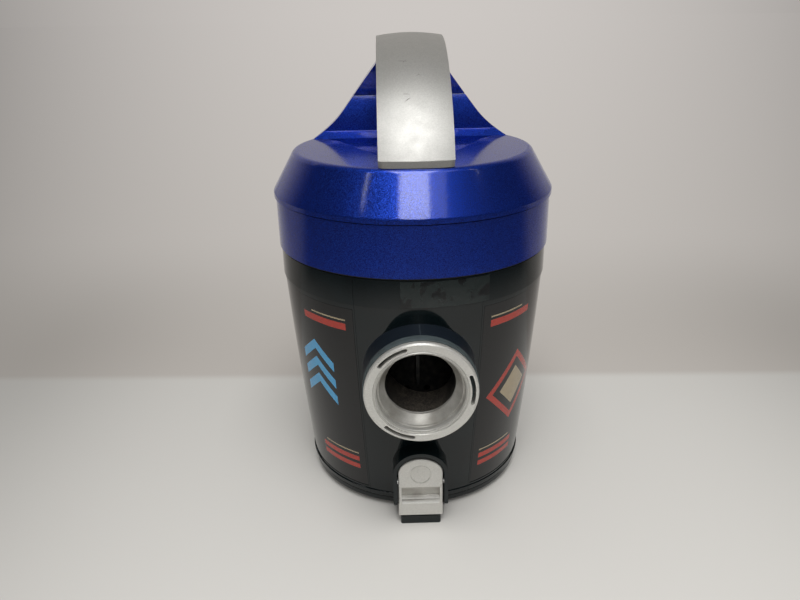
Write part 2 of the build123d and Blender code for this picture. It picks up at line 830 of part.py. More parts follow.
# Plate with the clean-air tubes that dip into the cones
with BuildPart() as vortex_plate:
    with BuildSketch(Plane.XY.offset(deck_top)):
        Circle(filter_radius + filter_wall)
    extrude(amount=plate_thickness)
    with BuildSketch(Plane.XY.offset(deck_top)):
        with PolarLocations(cone_pitch_radius, cone_count):
            Circle(finder_radius)
    extrude(amount=-finder_length)
    with BuildSketch(Plane.XY.offset(deck_top + plate_thickness)):
        with PolarLocations(cone_pitch_radius, cone_count):
            Circle(finder_radius - cone_wall)
    extrude(amount=-finder_length - plate_thickness, mode=Mode.SUBTRACT)
vortex_plate.part.label = "vortex_plate"
export_step(vortex_plate.part, "parts/vortex_plate.step")

# Perforated screen round the cones
screen_top = cone_flange - seat_gap
with BuildPart() as mesh_screen:
    with BuildSketch(Plane.XY.offset(screen_bottom)):
        Circle(screen_radius)
        Circle(screen_bore, mode=Mode.SUBTRACT)
    extrude(amount=screen_top - screen_bottom)
    for row in range(hole_rows):
        turn = 180.0 / hole_columns * (row % 2)
        with Locations((0, 0, hole_low + row * hole_pitch)):
            with PolarLocations(screen_radius - screen_wall / 2, hole_columns, start_angle=turn):
                Cylinder(hole_radius, 3 * screen_wall, rotation=(0, 90, 0), mode=Mode.SUBTRACT)
mesh_screen.part.label = "mesh_screen"
export_step(mesh_screen.part, "parts/mesh_screen.step")

# Upright vane on the screen that splits the incoming stream
with BuildPart() as inlet_vane:
    with BuildSketch(Plane.XY.offset(vane_low)):
        with Locations((0, -screen_radius - vane_length / 2 + screen_wall / 2)):
            Rectangle(vane_thickness, vane_length + screen_wall)
        Circle(screen_radius + seat_gap, mode=Mode.SUBTRACT)
    extrude(amount=vane_high - vane_low)
inlet_vane.part.label = "inlet_vane"
export_step(inlet_vane.part, "parts/inlet_vane.step")

# Skirt that keeps the dust down, and the funnel and tube that take the fine dust to the flap
skirt_top = screen_bottom - seat_gap
funnel_rim = screen_bore - 1.0
with BuildPart() as dust_skirt:
    with BuildSketch(Plane.XZ):
        with BuildLine():
            Polyline(
                (funnel_rim + seat_gap, skirt_top),
                (screen_radius + 1, skirt_top),
                (skirt_radius, skirt_top - skirt_drop),
                (skirt_radius - 2, skirt_top - skirt_drop),
                (screen_radius - 1, skirt_top - screen_wall),
                (funnel_rim + seat_gap, skirt_top - screen_wall),
                close=True,
            )
        make_face()
    revolve(axis=Axis.Z)
dust_skirt.part.label = "dust_skirt"
export_step(dust_skirt.part, "parts/dust_skirt.step")

with BuildPart() as dust_funnel:
    with BuildSketch(Plane.XZ):
        with BuildLine():
            Polyline(
                (screen_bore - seat_gap, screen_bottom + 6),
                (screen_bore - seat_gap, screen_bottom),
                (funnel_rim, screen_bottom),
                (funnel_rim, skirt_top - screen_wall),
                (fine_tube_radius, funnel_low),
                (fine_tube_radius - fine_tube_wall, funnel_low),
                (fine_tube_radius - fine_tube_wall, funnel_low + 1),
                (funnel_rim - fine_tube_wall, skirt_top - screen_wall + 1),
                (funnel_rim - fine_tube_wall, screen_bottom + 6),
                close=True,
            )
        make_face()
    revolve(axis=Axis.Z)
dust_funnel.part.label = "dust_funnel"
export_step(dust_funnel.part, "parts/dust_funnel.step")

with BuildPart() as fine_dust_tube:
    with BuildSketch(Plane.XY.offset(centre_seal_top + moving_gap)):
        Circle(fine_tube_radius)
        Circle(fine_tube_radius - fine_tube_wall, mode=Mode.SUBTRACT)
    extrude(amount=funnel_low - seat_gap - centre_seal_top - moving_gap)
fine_dust_tube.part.label = "fine_dust_tube"
export_step(fine_dust_tube.part, "parts/fine_dust_tube.step")

# Round pleated filter under the lid
filter_seat = deck_top + plate_thickness
frame_low = filter_seat + filter_seal_height
frame_top = frame_low + filter_height
media_radius = filter_radius - filter_wall - seat_gap
with BuildPart() as filter_seal:
    with BuildSketch(Plane.XY.offset(filter_seat)):
        Circle(filter_radius)
        Circle(filter_radius - 2 * filter_wall, mode=Mode.SUBTRACT)
    extrude(amount=filter_seal_height)
filter_seal.part.label = "filter_seal"
export_step(filter_seal.part, "parts/filter_seal.step")

with BuildPart() as filter_frame:
    with BuildSketch(Plane.XY.offset(frame_low)):
        Circle(filter_radius)
        Circle(filter_radius - filter_wall, mode=Mode.SUBTRACT)
    extrude(amount=filter_height)
    with BuildSketch(Plane.XY.offset(frame_low)):
        Circle(filter_radius - filter_wall / 2)
        Circle(filter_radius - 2 * filter_wall, mode=Mode.SUBTRACT)
    extrude(amount=filter_wall / 2)
    with BuildSketch(Plane.XY.offset(frame_top - filter_wall)):
        Rectangle(2 * filter_radius - filter_wall, 3 * filter_wall)
    extrude(amount=filter_wall)
filter_frame.part.label = "filter_frame"
export_step(filter_frame.part, "parts/filter_frame.step")

pleat_pitch = 2 * media_radius / pleat_count
media_low = frame_low + filter_wall / 2 + seat_gap
with BuildPart() as filter_media:
    with BuildSketch(Plane.XZ):
        with BuildLine():
            lower = []
            upper = []
            for i in range(2 * pleat_count + 1):
                x = -media_radius + i * pleat_pitch / 2
                z = media_low + (pleat_height - 3 * pleat_sheet) * (i % 2)
                lower.append((x, z))
                upper.append((x, z + 3 * pleat_sheet))
            Polyline(*lower)
            Polyline(*upper)
            Line(lower[0], upper[0])
            Line(lower[-1], upper[-1])
        make_face()
    extrude(amount=filter_radius, both=True)
    with BuildSketch(Plane.XY.offset(media_low - 1)):
        Circle(media_radius)
    extrude(amount=pleat_height + 2, mode=Mode.INTERSECT)
filter_media.part.label = "filter_media"
export_step(filter_media.part, "parts/filter_media.step")

# Side view of the handle: the front arc rises from the foot and meets the rear arc at the top
apex_plane = Plane(origin=(0, apex_y, 0), x_dir=(1, 0, 0), z_dir=(0, -1, 0))
front_axis = Axis((0, apex_y, front_z), (1, 0, 0))
rear_axis = Axis((0, apex_y, rear_z), (-1, 0, 0))
pylon_inset = handle_crown + 1.0


def front_height(y, inset):
    """Height of the front arc, or of an arc inset from it, at a place along Y."""
    return front_z + sqrt((front_radius - inset) ** 2 - (y - apex_y) ** 2)


def pylon_form(inset, toe):
    """Bell-shaped rear leg of the handle with a toe, or its hollow where inset is the wall."""
    slope = (bell_mid_half - bell_top_half) / (bell_top - bell_mid)
    peak = bell_top_half - slope * (handle_top - bell_top) - inset
    mid = bell_mid_half - inset
    foot = lid_top_radius - flare_inset - 2 * inset
    depth = pylon_inset + inset
    front = pylon_front + inset
    tip = pylon_brow + inset
    with BuildPart() as form:
        with BuildSketch(Plane.XZ):
            with BuildLine():
                for side in (-1, 1):
                    Line((side * peak, handle_top), (side * mid, bell_mid))
                    TangentArc(
                        (side * mid, bell_mid),
                        (side * foot, lid_top),
                        tangent=(side * slope, -1),
                    )
                    Line((side * foot, lid_top), (side * foot, pylon_root))
                Line((-peak, handle_top), (peak, handle_top))
                Line((-foot, pylon_root), (foot, pylon_root))
            make_face()
        extrude(amount=lid_top_radius, both=True)
        with BuildSketch(Plane.YZ):
            with BuildLine():
                brow = front_height(tip, handle_depth - 1)
                shin = lid_top + pylon_toe_rise
                Polyline((front - toe, pylon_root), (front - toe, lid_top), (front, shin))
                TangentArc((front, shin), (front + pylon_rake, parting_z), tangent=(0, 1))
                TangentArc((front + pylon_rake, parting_z), (tip, brow), tangent=(0, 1))
                Line((tip, brow), (tip, front_height(tip, depth)))
                ThreePointArc(
                    (tip, front_height(tip, depth)),
                    ((tip + apex_y) / 2, front_height((tip + apex_y) / 2, depth)),
                    (apex_y, handle_top - depth),
                )
                bend = rear_radius - depth
                ThreePointArc(
                    (apex_y, handle_top - depth),
                    (apex_y + bend * sin(radians(45)), rear_z + bend * cos(radians(45))),
                    (apex_y + bend, rear_z),
                )
                Line((apex_y + bend, rear_z), (apex_y + bend, pylon_root))
                Line((apex_y + bend, pylon_root), (front - toe, pylon_root))
            make_face()
        extrude(amount=lid_radius, both=True, mode=Mode.INTERSECT)
        with BuildSketch(Plane.XY.offset(pylon_root)):
            Circle(lid_top_radius - pylon_rim_inset - inset)
        extrude(amount=handle_top - pylon_root, mode=Mode.INTERSECT)
    return form


def scoop_outline(grow):
    """Plan of the finger scoop under the handle, widening towards the rear leg."""
    with BuildSketch() as plan:
        with BuildLine():
            front_y = -scoop_front + scoop_front_half / 2
            ThreePointArc((-scoop_front_half, front_y), (0, -scoop_front), (scoop_front_half, front_y))
            for side in (-1, 1):
                Polyline(
                    (side * scoop_front_half, front_y),
                    (side * scoop_side, scoop_side_y),
                    (side * scoop_rear, pylon_front),
                    (side * scoop_rear, pylon_front + lid_wall),
                )
            Line((-scoop_rear, pylon_front + lid_wall), (scoop_rear, pylon_front + lid_wall))
        make_face()
        if grow > 0:
            offset(amount=grow)
    return plan.sketch


with BuildPart() as scoop:
    with BuildSketch(Plane.XY.offset(scoop_low - 1)):
        add(scoop_outline(0))
    extrude(amount=scoop_depth + 3)
    with BuildSketch(Plane.YZ):
        with BuildLine():
            Polyline(
                (-scoop_front, lid_top),
                (-scoop_front, lid_top + 2),
                (pylon_front + lid_wall, lid_top + 2),
                (pylon_front + lid_wall, scoop_low),
                close=True,
            )
        make_face()
    extrude(amount=lid_radius, both=True, mode=Mode.INTERSECT)

pylon_outer = pylon_form(0, pylon_toe)
pylon_inner = pylon_form(lid_wall, 0)

# Shadow line along the parting of the rear leg
with BuildPart() as parting_groove:
    with BuildSketch(Plane.XY.offset(parting_z - parting_line)):
        with Locations((handle_half + lid_radius, 0), (-handle_half - lid_radius, 0)):
            Rectangle(2 * lid_radius, 2 * lid_radius)
    extrude(amount=parting_line + 1)
    add(pylon_form(parting_line, 0).part, mode=Mode.SUBTRACT)

# Lid cap: cone-edged cover with the finger scoop and the lower half of the rear leg
skirt_radius_lid = band_bore - moving_gap
skirt_bore_lid = skirt_radius_lid - lid_skirt_wall
with BuildPart() as lid_cap:
    with BuildSketch(Plane.XZ):
        with BuildLine():
            FilletPolyline(
                (0, lid_top),
                (lid_top_radius, lid_top),
                (lid_radius, lid_foot + lid_lip),
                (lid_radius, lid_foot),
                radius=(lid_edge, lid_edge / 2),
            )
            Polyline(
                (lid_radius, lid_foot),
                (skirt_radius_lid, lid_foot),
                (skirt_radius_lid, lid_foot - lid_skirt),
                (skirt_bore_lid, lid_foot - lid_skirt),
                (skirt_bore_lid, lid_foot + lid_lip + 2),
                (lid_top_radius - lid_wall / 2, lid_top - lid_wall),
                (0, lid_top - lid_wall),
                (0, lid_top),
            )
        make_face()
    revolve(axis=Axis.Z)
    with BuildSketch(Plane.XY.offset(scoop_low - lid_wall)):
        add(scoop_outline(lid_wall))
    extrude(amount=scoop_depth + lid_wall / 2)
    add(scoop.part, mode=Mode.SUBTRACT)
    add(pylon_outer.part)
    with BuildSketch(Plane.XY.offset(pylon_root)):
        with BuildLine():
            ThreePointArc(
                (-handle_half, handle_rear - handle_crown),
                (0, handle_rear),
                (handle_half, handle_rear - handle_crown),
            )
            Polyline(
                (handle_half, handle_rear - handle_crown),
                (handle_half, pylon_front + handle_depth),
                (-handle_half, pylon_front + handle_depth),
                (-handle_half, handle_rear - handle_crown),
            )
        make_face()
    extrude(amount=parting_z - pylon_root)
    with BuildSketch(Plane.XY.offset(parting_z)):
        Rectangle(2 * lid_radius, 2 * lid_radius)
    extrude(amount=handle_top - parting_z + 1, mode=Mode.SUBTRACT)
lid_shell = lid_cap
with BuildPart() as pylon_hollow:
    add(pylon_inner.part)
    with BuildSketch(Plane.XY.offset(parting_z - lid_wall)):
        Rectangle(2 * lid_radius, 2 * lid_radius)
    extrude(amount=handle_top - parting_z + lid_wall + 1, mode=Mode.SUBTRACT)
screw_front_y = -handle_foot + 0.96 * handle_depth
screw_rear_y = (pylon_front + handle_rear) / 2
screw_spots = [
    (-screw_spread, screw_front_y),
    (screw_spread, screw_front_y),
    (-screw_spread, screw_rear_y),
    (screw_spread, screw_rear_y),
]
with BuildPart() as lid_cap:
    add(lid_shell.part)
    add(pylon_hollow.part, mode=Mode.SUBTRACT)
    add(parting_groove.part, mode=Mode.SUBTRACT)
    with BuildSketch(Plane.XY.offset(lid_top - 2 * lid_wall)):
        with Locations(*screw_spots):
            Circle(screw_radius + pin_gap)
    extrude(amount=parting_z - lid_top + 3 * lid_wall, mode=Mode.SUBTRACT)
lid_cap.part.label = "lid_cap"
export_step(lid_cap.part, "parts/lid_cap.step")

with BuildPart() as lid_seal:
    with BuildSketch(Plane.XY.offset(lid_foot - lid_gap + moving_gap)):
        Circle(band_radius - seat_gap)
        Circle(skirt_radius_lid + seat_gap, mode=Mode.SUBTRACT)
    extrude(amount=lid_gap - moving_gap)
lid_seal.part.label = "lid_seal"
export_step(lid_seal.part, "parts/lid_seal.step")


def trim_outline(grow):
    """Section of the silver trim at the top of the handle: a crowned channel, open below."""
    edge = handle_top - handle_crown
    low = edge - trim_skirt
    inner = handle_half - trim_wall
    with BuildSketch(apex_plane) as section:
        with BuildLine():
            ThreePointArc((-handle_half - grow, edge), (0, handle_top + grow), (handle_half + grow, edge))
            Polyline(
                (handle_half + grow, edge),
                (handle_half + grow, low - grow),
                (inner - grow, low - grow),
                (inner - grow, edge - trim_wall - grow),
            )
            ThreePointArc(
                (inner - grow, edge - trim_wall - grow),
                (0, handle_top - trim_wall - grow),
                (-inner + grow, edge - trim_wall - grow),
            )
            Polyline(
                (-inner + grow, edge - trim_wall - grow),
                (-inner + grow, low - grow),
                (-handle_half - grow, low - grow),
                (-handle_half - grow, edge),
            )
        make_face()
        corners = [v for v in section.vertices() if abs(v.Z - edge) < 0.01 and abs(v.X) > handle_half - 0.1]
        fillet(corners, radius=handle_edge)
    return section


def handle_sweep(section, front_turn):
    """Turn a section along the front arc and then along the rear arc."""
    with BuildPart() as sweep_form:
        add(section.sketch)
        revolve(axis=front_axis, revolution_arc=front_turn)
    with BuildPart() as rear_form:
        add(section.sketch)
        revolve(axis=rear_axis, revolution_arc=90)
    with BuildPart() as whole:
        add(sweep_form.part)
        add(rear_form.part)
    return whole


def channel_outline():
    """Section of the space inside the trim, down to well below the handle."""
    edge = handle_top - handle_crown - trim_wall
    half = handle_half - trim_wall
    low = handle_top - 2 * handle_depth
    with BuildSketch(apex_plane) as section:
        with BuildLine():
            ThreePointArc((-half, edge), (0, handle_top - trim_wall), (half, edge))
            Polyline((half, edge), (half, low), (-half, low), (-half, edge))
        make_face()
    return section


# Upright plinth at the foot of the trim, and what stands in front of it
trim_low = lid_top + seat_gap
foot_drop = trim_low + trim_foot / 3 - front_z
foot_front = apex_y - sqrt(front_radius**2 - foot_drop**2)
foot_edge = apex_y - sqrt((front_radius - handle_crown) ** 2 - foot_drop**2)
foot_rear = foot_front + handle_crown + trim_skirt
with BuildPart() as foot_block:
    with BuildSketch(Plane.XY.offset(trim_low)) as plan:
        with BuildLine():
            ThreePointArc((-handle_half, foot_edge), (0, foot_front), (handle_half, foot_edge))
            Polyline(
                (handle_half, foot_edge),
                (handle_half, foot_rear),
                (-handle_half, foot_rear),
                (-handle_half, foot_edge),
            )
        make_face()
        fillet(plan.vertices().sort_by(Axis.Y)[:2], radius=handle_edge)
    extrude(amount=trim_foot)
with BuildPart() as foot_plinth:
    add(foot_block.part)
    add(handle_sweep(channel_outline(), handle_lean + 6).part, mode=Mode.SUBTRACT)
with BuildPart() as foot_relief:
    with BuildSketch(Plane.XY.offset(trim_low)):
        with Locations((0, foot_edge + handle_edge - handle_depth)):
            Rectangle(2 * lid_radius, 2 * handle_depth)
    extrude(amount=trim_foot)
    add(foot_block.part, mode=Mode.SUBTRACT)

# Silver trim: the channel that covers the handle from the foot over the top to the parting
with BuildPart() as handle_trim:
    add(handle_sweep(trim_outline(0), handle_lean + 6).part)
    with BuildSketch(Plane.XY.offset(lid_foot)):
        with Locations((0, -lid_radius + apex_y)):
            Rectangle(2 * lid_radius, 2 * lid_radius)
    extrude(amount=trim_low - lid_foot, mode=Mode.SUBTRACT)
    with BuildSketch(Plane.XY.offset(lid_foot)):
        with Locations((0, lid_radius + apex_y)):
            Rectangle(2 * lid_radius, 2 * lid_radius)
    extrude(amount=parting_z + seat_gap - lid_foot, mode=Mode.SUBTRACT)
    add(foot_relief.part, mode=Mode.SUBTRACT)
    add(foot_plinth.part)
handle_trim.part.label = "handle_trim"
export_step(handle_trim.part, "parts/handle_trim.step")


def shell_outline():
    """Section of the blue shell at the top of the handle: a lip below and a core in the trim."""
    edge = handle_top - handle_crown
    low = handle_top - handle_depth
    lip = handle_half - 2 * seat_gap
    shelf = edge - trim_skirt - seat_gap
    core = handle_half - trim_wall - seat_gap
    brow = edge - trim_wall - seat_gap
    with BuildSketch(apex_plane) as section:
        with BuildLine():
            FilletPolyline(
                (-lip, shelf),
                (-lip, low),
                (lip, low),
                (lip, shelf),
                radius=handle_edge,
            )
            Polyline((lip, shelf), (core, shelf), (core, brow))
            ThreePointArc((core, brow), (0, handle_top - trim_wall - seat_gap), (-core, brow))
            Polyline((-core, brow), (-core, shelf), (-lip, shelf))
        make_face()
    return section


# Blue underside of the handle with the upper half of the rear leg
with BuildPart() as handle_shell:
    add(pylon_outer.part)
    with BuildSketch(Plane.XY.offset(lid_foot)):
        Rectangle(2 * lid_radius, 2 * lid_radius)
    extrude(amount=parting_z + seat_gap - lid_foot, mode=Mode.SUBTRACT)
    add(handle_sweep(trim_outline(seat_gap), handle_lean + 6).part, mode=Mode.SUBTRACT)
    add(handle_sweep(shell_outline(), handle_lean + 6).part)
    with BuildSketch(Plane.XY.offset(lid_foot)):
        with Locations((0, -lid_radius + apex_y)):
            Rectangle(2 * lid_radius, 2 * lid_radius)
    extrude(amount=lid_top - lid_foot, mode=Mode.SUBTRACT)
    with BuildSketch(Plane.XY.offset(lid_foot)):
        with Locations((0, lid_radius + apex_y)):
            Rectangle(2 * lid_radius, 2 * lid_radius)
    extrude(amount=parting_z + seat_gap - lid_foot, mode=Mode.SUBTRACT)
    with BuildSketch(Plane.XY.offset(lid_top)):
        with Locations(*screw_spots[:2]):
            Circle(screw_radius + pin_gap)
    extrude(amount=screw_depth, mode=Mode.SUBTRACT)
    with BuildSketch(Plane.XY.offset(parting_z)):
        with Locations(*screw_spots[2:]):
            Circle(screw_radius + pin_gap)
    extrude(amount=screw_depth, mode=Mode.SUBTRACT)
handle_shell.part.label = "handle_shell"
export_step(handle_shell.part, "parts/handle_shell.step")

# Screws from below that hold the handle to the lid
with BuildPart() as handle_screws:
    for spots, seat in ((screw_spots[:2], lid_top), (screw_spots[2:], parting_z)):
        with BuildSketch(Plane.XY.offset(seat - lid_wall)):
            with Locations(*spots):
                Circle(screw_head)
        extrude(amount=-screw_radius)
        with BuildSketch(Plane.XY.offset(seat - lid_wall)):
            with Locations(*spots):
                Circle(screw_radius)
        extrude(amount=lid_wall + screw_depth - 1)
handle_screws.part.label = "handle_screws"
export_step(handle_screws.part, "parts/handle_screws.step")
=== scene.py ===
"""Finishes, small pieces and studio for a cyclone dust container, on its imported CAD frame."""

import math

import bpy
from mathutils import Matrix, Vector


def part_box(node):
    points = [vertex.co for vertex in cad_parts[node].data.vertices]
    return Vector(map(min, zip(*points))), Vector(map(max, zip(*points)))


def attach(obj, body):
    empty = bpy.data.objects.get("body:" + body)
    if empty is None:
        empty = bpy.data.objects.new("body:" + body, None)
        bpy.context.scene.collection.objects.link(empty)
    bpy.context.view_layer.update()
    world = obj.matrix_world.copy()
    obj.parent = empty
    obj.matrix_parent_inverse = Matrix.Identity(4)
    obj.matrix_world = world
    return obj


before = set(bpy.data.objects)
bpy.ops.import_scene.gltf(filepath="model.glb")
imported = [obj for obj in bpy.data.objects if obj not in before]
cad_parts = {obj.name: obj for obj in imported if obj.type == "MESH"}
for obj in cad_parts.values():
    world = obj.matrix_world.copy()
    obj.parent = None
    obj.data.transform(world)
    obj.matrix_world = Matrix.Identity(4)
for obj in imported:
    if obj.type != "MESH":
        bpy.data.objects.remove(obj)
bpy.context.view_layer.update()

bl_info = {
    "name": "Cyclone dust container",
    "version": (1, 0, 0),
    "blender": (4, 5, 0),
    "location": "View3D > Sidebar > Container",
    "description": "Finishes the container's solids, adds its small pieces and sets the studio",
    "category": "Object",
}

# Settings that many nodes share
MULTIPLY = {"operation": "MULTIPLY"}
MULTIPLY_ADD = {"operation": "MULTIPLY_ADD"}
COMPARE = {"operation": "COMPARE"}
MAXIMUM = {"operation": "MAXIMUM"}
BLEND = {"data_type": "RGBA"}
SMOOTH = {"interpolation_type": "SMOOTHSTEP"}
# The hose inlet points down by this angle, and its front plane stands this far before the gasket's middle.
SPOUT_TILT = math.radians(3.5)
SPOUT_FRONT = 0.0072
COLLAR_RADIUS = 0.033
# Labels in millimetres: wall's radius at the motif, angle of the motif's middle, where the bars start from it
LABEL_RADIUS = 79.0
MOTIF_TURN = math.radians(50)
BAR_START = -27.0
# Table's fold behind the container: its place along Y, half its softness and its slant, nearer on the right
FOLD = 0.107
FOLD_HALF = 0.007
FOLD_SLANT = 0.0386
FLOOR_RADIUS = 40.0
# Strength of the pale surroundings to the front and the sides, and where the backdrop is brightest, as the
# tangent of the angle to the right of the camera's axis
SIDE_LEVEL = 0.85
BRIGHT_SIDE = 0.06
# Camera: distance in front of the container's axis, step to the left, height, pitch down, yaw and roll
CAMERA_BACK = 0.4428
CAMERA_LEFT = 0.0162
CAMERA_HEIGHT = 0.298
CAMERA_PITCH = math.radians(22.26)
CAMERA_YAW = math.radians(0.9)
CAMERA_ROLL = math.radians(-1.08)


def linear(code):
    """Linear colour of an sRGB hex value."""
    channels = [int(code[i : i + 2], 16) / 255 for i in (1, 3, 5)]
    return tuple(c / 12.92 if c <= 0.04045 else ((c + 0.055) / 1.055) ** 2.4 for c in channels)


# The dim room that reflections see where the light box is open
ROOM = linear("#2C2A2A")


def put(tree, kind, settings=None, inputs=None):
    """Add a node with its settings, and fill its inputs with values or with other nodes' outputs."""
    made = tree.nodes.new(kind)
    for name, value in (settings or {}).items():
        setattr(made, name, value)
    for name, value in (inputs or {}).items():
        socket = made.inputs[name]
        if isinstance(value, bpy.types.NodeSocket):
            tree.links.new(value, socket)
        else:
            socket.default_value = value
    return made


def start_finish(name):
    """New node material, its empty tree and the object coordinates in metres."""
    material = bpy.data.materials.new(name)
    material.use_nodes = True
    tree = material.node_tree
    tree.nodes.clear()
    place = put(tree, "ShaderNodeTexCoord").outputs["Object"]
    return material, tree, place


def end_finish(tree, shader):
    """Join the shader to the material's output."""
    put(tree, "ShaderNodeOutputMaterial", inputs={"Surface": shader.outputs["BSDF"]})


def dress(material, *names):
    """Give CAD nodes a finish."""
    for name in names:
        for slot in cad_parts[name].material_slots:
            slot.material = material


def rgba(colour):
    """Colour with full alpha."""
    return (*colour, 1.0)


def mottle(tree, place, size, detail, span, values):
    """Value that wanders between two values in patches of a real size, from the span of a noise."""
    noise = put(tree, "ShaderNodeTexNoise", inputs={"Vector": place, "Scale": 1 / size, "Detail": detail})
    ends = {1: span[0], 2: span[1], 3: values[0], 4: values[1]}
    return put(tree, "ShaderNodeMapRange", inputs={0: noise.outputs["Fac"], **ends}).outputs[0]


def emboss(tree, place, size, detail, strength, depth):
    """Normal of a surface with an uneven relief of a real size and depth."""
    noise = put(tree, "ShaderNodeTexNoise", inputs={"Vector": place, "Scale": 1 / size, "Detail": detail})
    relief = {"Strength": strength, "Distance": depth, "Height": noise.outputs["Fac"]}
    return put(tree, "ShaderNodeBump", inputs=relief).outputs[0]


def spout_centre():
    """Middle of the inlet's front plane."""
    low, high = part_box("inlet_gasket")
    return (low + high) / 2 + SPOUT_FRONT * Vector((0, -math.cos(SPOUT_TILT), -math.sin(SPOUT_TILT)))


def turn_ring(context, name, profile):
    """Ring about the inlet's axis, drawn round through (radius, height over the front plane), welded shut."""
    bpy.ops.object.select_all(action="DESELECT")
    bpy.ops.mesh.primitive_circle_add(vertices=160, radius=profile[0][0], location=(0, 0, 0))
    ring = context.object
    ring.name = name
    bpy.ops.object.mode_set(mode="EDIT")
    bpy.ops.mesh.select_all(action="SELECT")
    bpy.ops.transform.translate(value=(0, 0, profile[0][1]))
    for (radius, height), (wide, high) in zip(profile, profile[1:] + profile[:1]):
        bpy.ops.mesh.extrude_region_move(
            TRANSFORM_OT_translate={"value": (0, 0, high - height), "orient_type": "GLOBAL"}
        )
        bpy.ops.transform.resize(value=(wide / radius, wide / radius, 1))
    bpy.ops.mesh.select_all(action="SELECT")
    bpy.ops.mesh.remove_doubles(threshold=0.000005)
    bpy.ops.mesh.normals_make_consistent(inside=False)
    bpy.ops.object.mode_set(mode="OBJECT")
    ring.location = spout_centre()
    ring.rotation_euler = (math.radians(90) + SPOUT_TILT, 0, 0)
    bpy.ops.object.transform_apply(location=True, rotation=True, scale=True)
    bpy.ops.object.shade_smooth_by_angle(angle=math.radians(25))
    return ring


class ContainerColours(bpy.types.PropertyGroup):
    """Colours of the container's finishes."""

    blue_deep: bpy.props.FloatVectorProperty(
        name="Deep blue", description="Ground of the blue lacquer", subtype="COLOR", default=linear("#0D1558")
    )
    blue_bright: bpy.props.FloatVectorProperty(
        name="Bright blue",
        description="Flakes that catch the light in the blue lacquer",
        subtype="COLOR",
        default=linear("#2858E6"),
    )
    silver: bpy.props.FloatVectorProperty(
        name="Strap silver",
        description="Flake-rich satin paint of the handle's strap",
        subtype="COLOR",
        default=linear("#AEADA9"),
    )
    silver_matt: bpy.props.FloatVectorProperty(
        name="Matt silver",
        description="Paler matt paint of the inlet ring and the latch",
        subtype="COLOR",
        default=linear("#CDCCC7"),
    )
    cup_grey: bpy.props.FloatVectorProperty(
        name="Smoked grey",
        description="Moulded plastic of the cup and its flap",
        subtype="COLOR",
        default=linear("#0B1315"),
    )
    label_ground: bpy.props.FloatVectorProperty(
        name="Label ground",
        description="Dark ground of the label film",
        subtype="COLOR",
        default=linear("#141415"),
    )
    label_red: bpy.props.FloatVectorProperty(
        name="Label red",
        description="Warm bars and frame on the labels",
        subtype="COLOR",
        default=linear("#A6392F"),
    )
    label_sky: bpy.props.FloatVectorProperty(
        name="Label blue",
        description="Chevrons on the left label",
        subtype="COLOR",
        default=linear("#4E9CCB"),
    )
    label_cream: bpy.props.FloatVectorProperty(
        name="Label cream",
        description="Lozenge on the right label and thin lines on both",
        subtype="COLOR",
        default=linear("#A2947A"),
    )
    rubber_pale: bpy.props.FloatVectorProperty(
        name="Pale rubber",
        description="Gasket behind the inlet ring",
        subtype="COLOR",
        default=linear("#404A4C"),
    )
    floor_near: bpy.props.FloatVectorProperty(
        name="Floor", description="Pale table under the container", subtype="COLOR", default=linear("#DAD8D3")
    )
    floor_far: bpy.props.FloatVectorProperty(
        name="Backdrop",
        description="Slightly darker ground behind the table's fold",
        subtype="COLOR",
        default=linear("#BDB8B2"),
    )
    backdrop_low: bpy.props.FloatVectorProperty(
        name="Backdrop foot",
        description="Shade of the backdrop just above the table's fold",
        subtype="COLOR",
        default=linear("#BBB6B0"),
    )
    backdrop_high: bpy.props.FloatVectorProperty(
        name="Backdrop head",
        description="Shade of the backdrop at the top of the picture",
        subtype="COLOR",
        default=linear("#CCC7C3"),
    )


class ContainerSizes(bpy.types.PropertyGroup):
    """Sizes of patterns and small pieces, in metres."""

    flake: bpy.props.FloatProperty(
        name="Flake",
        description="Metal flakes in the lacquer, drawn several times coarser than life so that they show",
        default=0.00028,
        unit="LENGTH",
    )
    peel: bpy.props.FloatProperty(
        name="Orange peel", description="Waves left in the sprayed clear coat", default=0.004, unit="LENGTH"
    )
    grain: bpy.props.FloatProperty(
        name="Grain",
        description="Spark-eroded grain of the black plastic, drawn coarser than life so that it shows",
        default=0.0009,
        unit="LENGTH",
    )
    push_ring: bpy.props.FloatProperty(
        name="Push ring",
        description="Radius of the raised ring on the latch's pad",
        default=0.0066,
        unit="LENGTH",
    )
    push_ring_line: bpy.props.FloatProperty(
        name="Push ring line", description="Width of the raised ring's line", default=0.0005, unit="LENGTH"
    )
    film_start: bpy.props.FloatProperty(
        name="Film start",
        description="Left end of the clear film on the collar, from the front",
        default=math.radians(-7.5),
        subtype="ANGLE",
    )
    film_end: bpy.props.FloatProperty(
        name="Film end",
        description="Right end of the clear film on the collar, from the front",
        default=math.radians(28.0),
        subtype="ANGLE",
    )
    film_height: bpy.props.FloatProperty(
        name="Film height",
        description="Height of the clear film on the collar",
        default=0.0155,
        unit="LENGTH",
    )


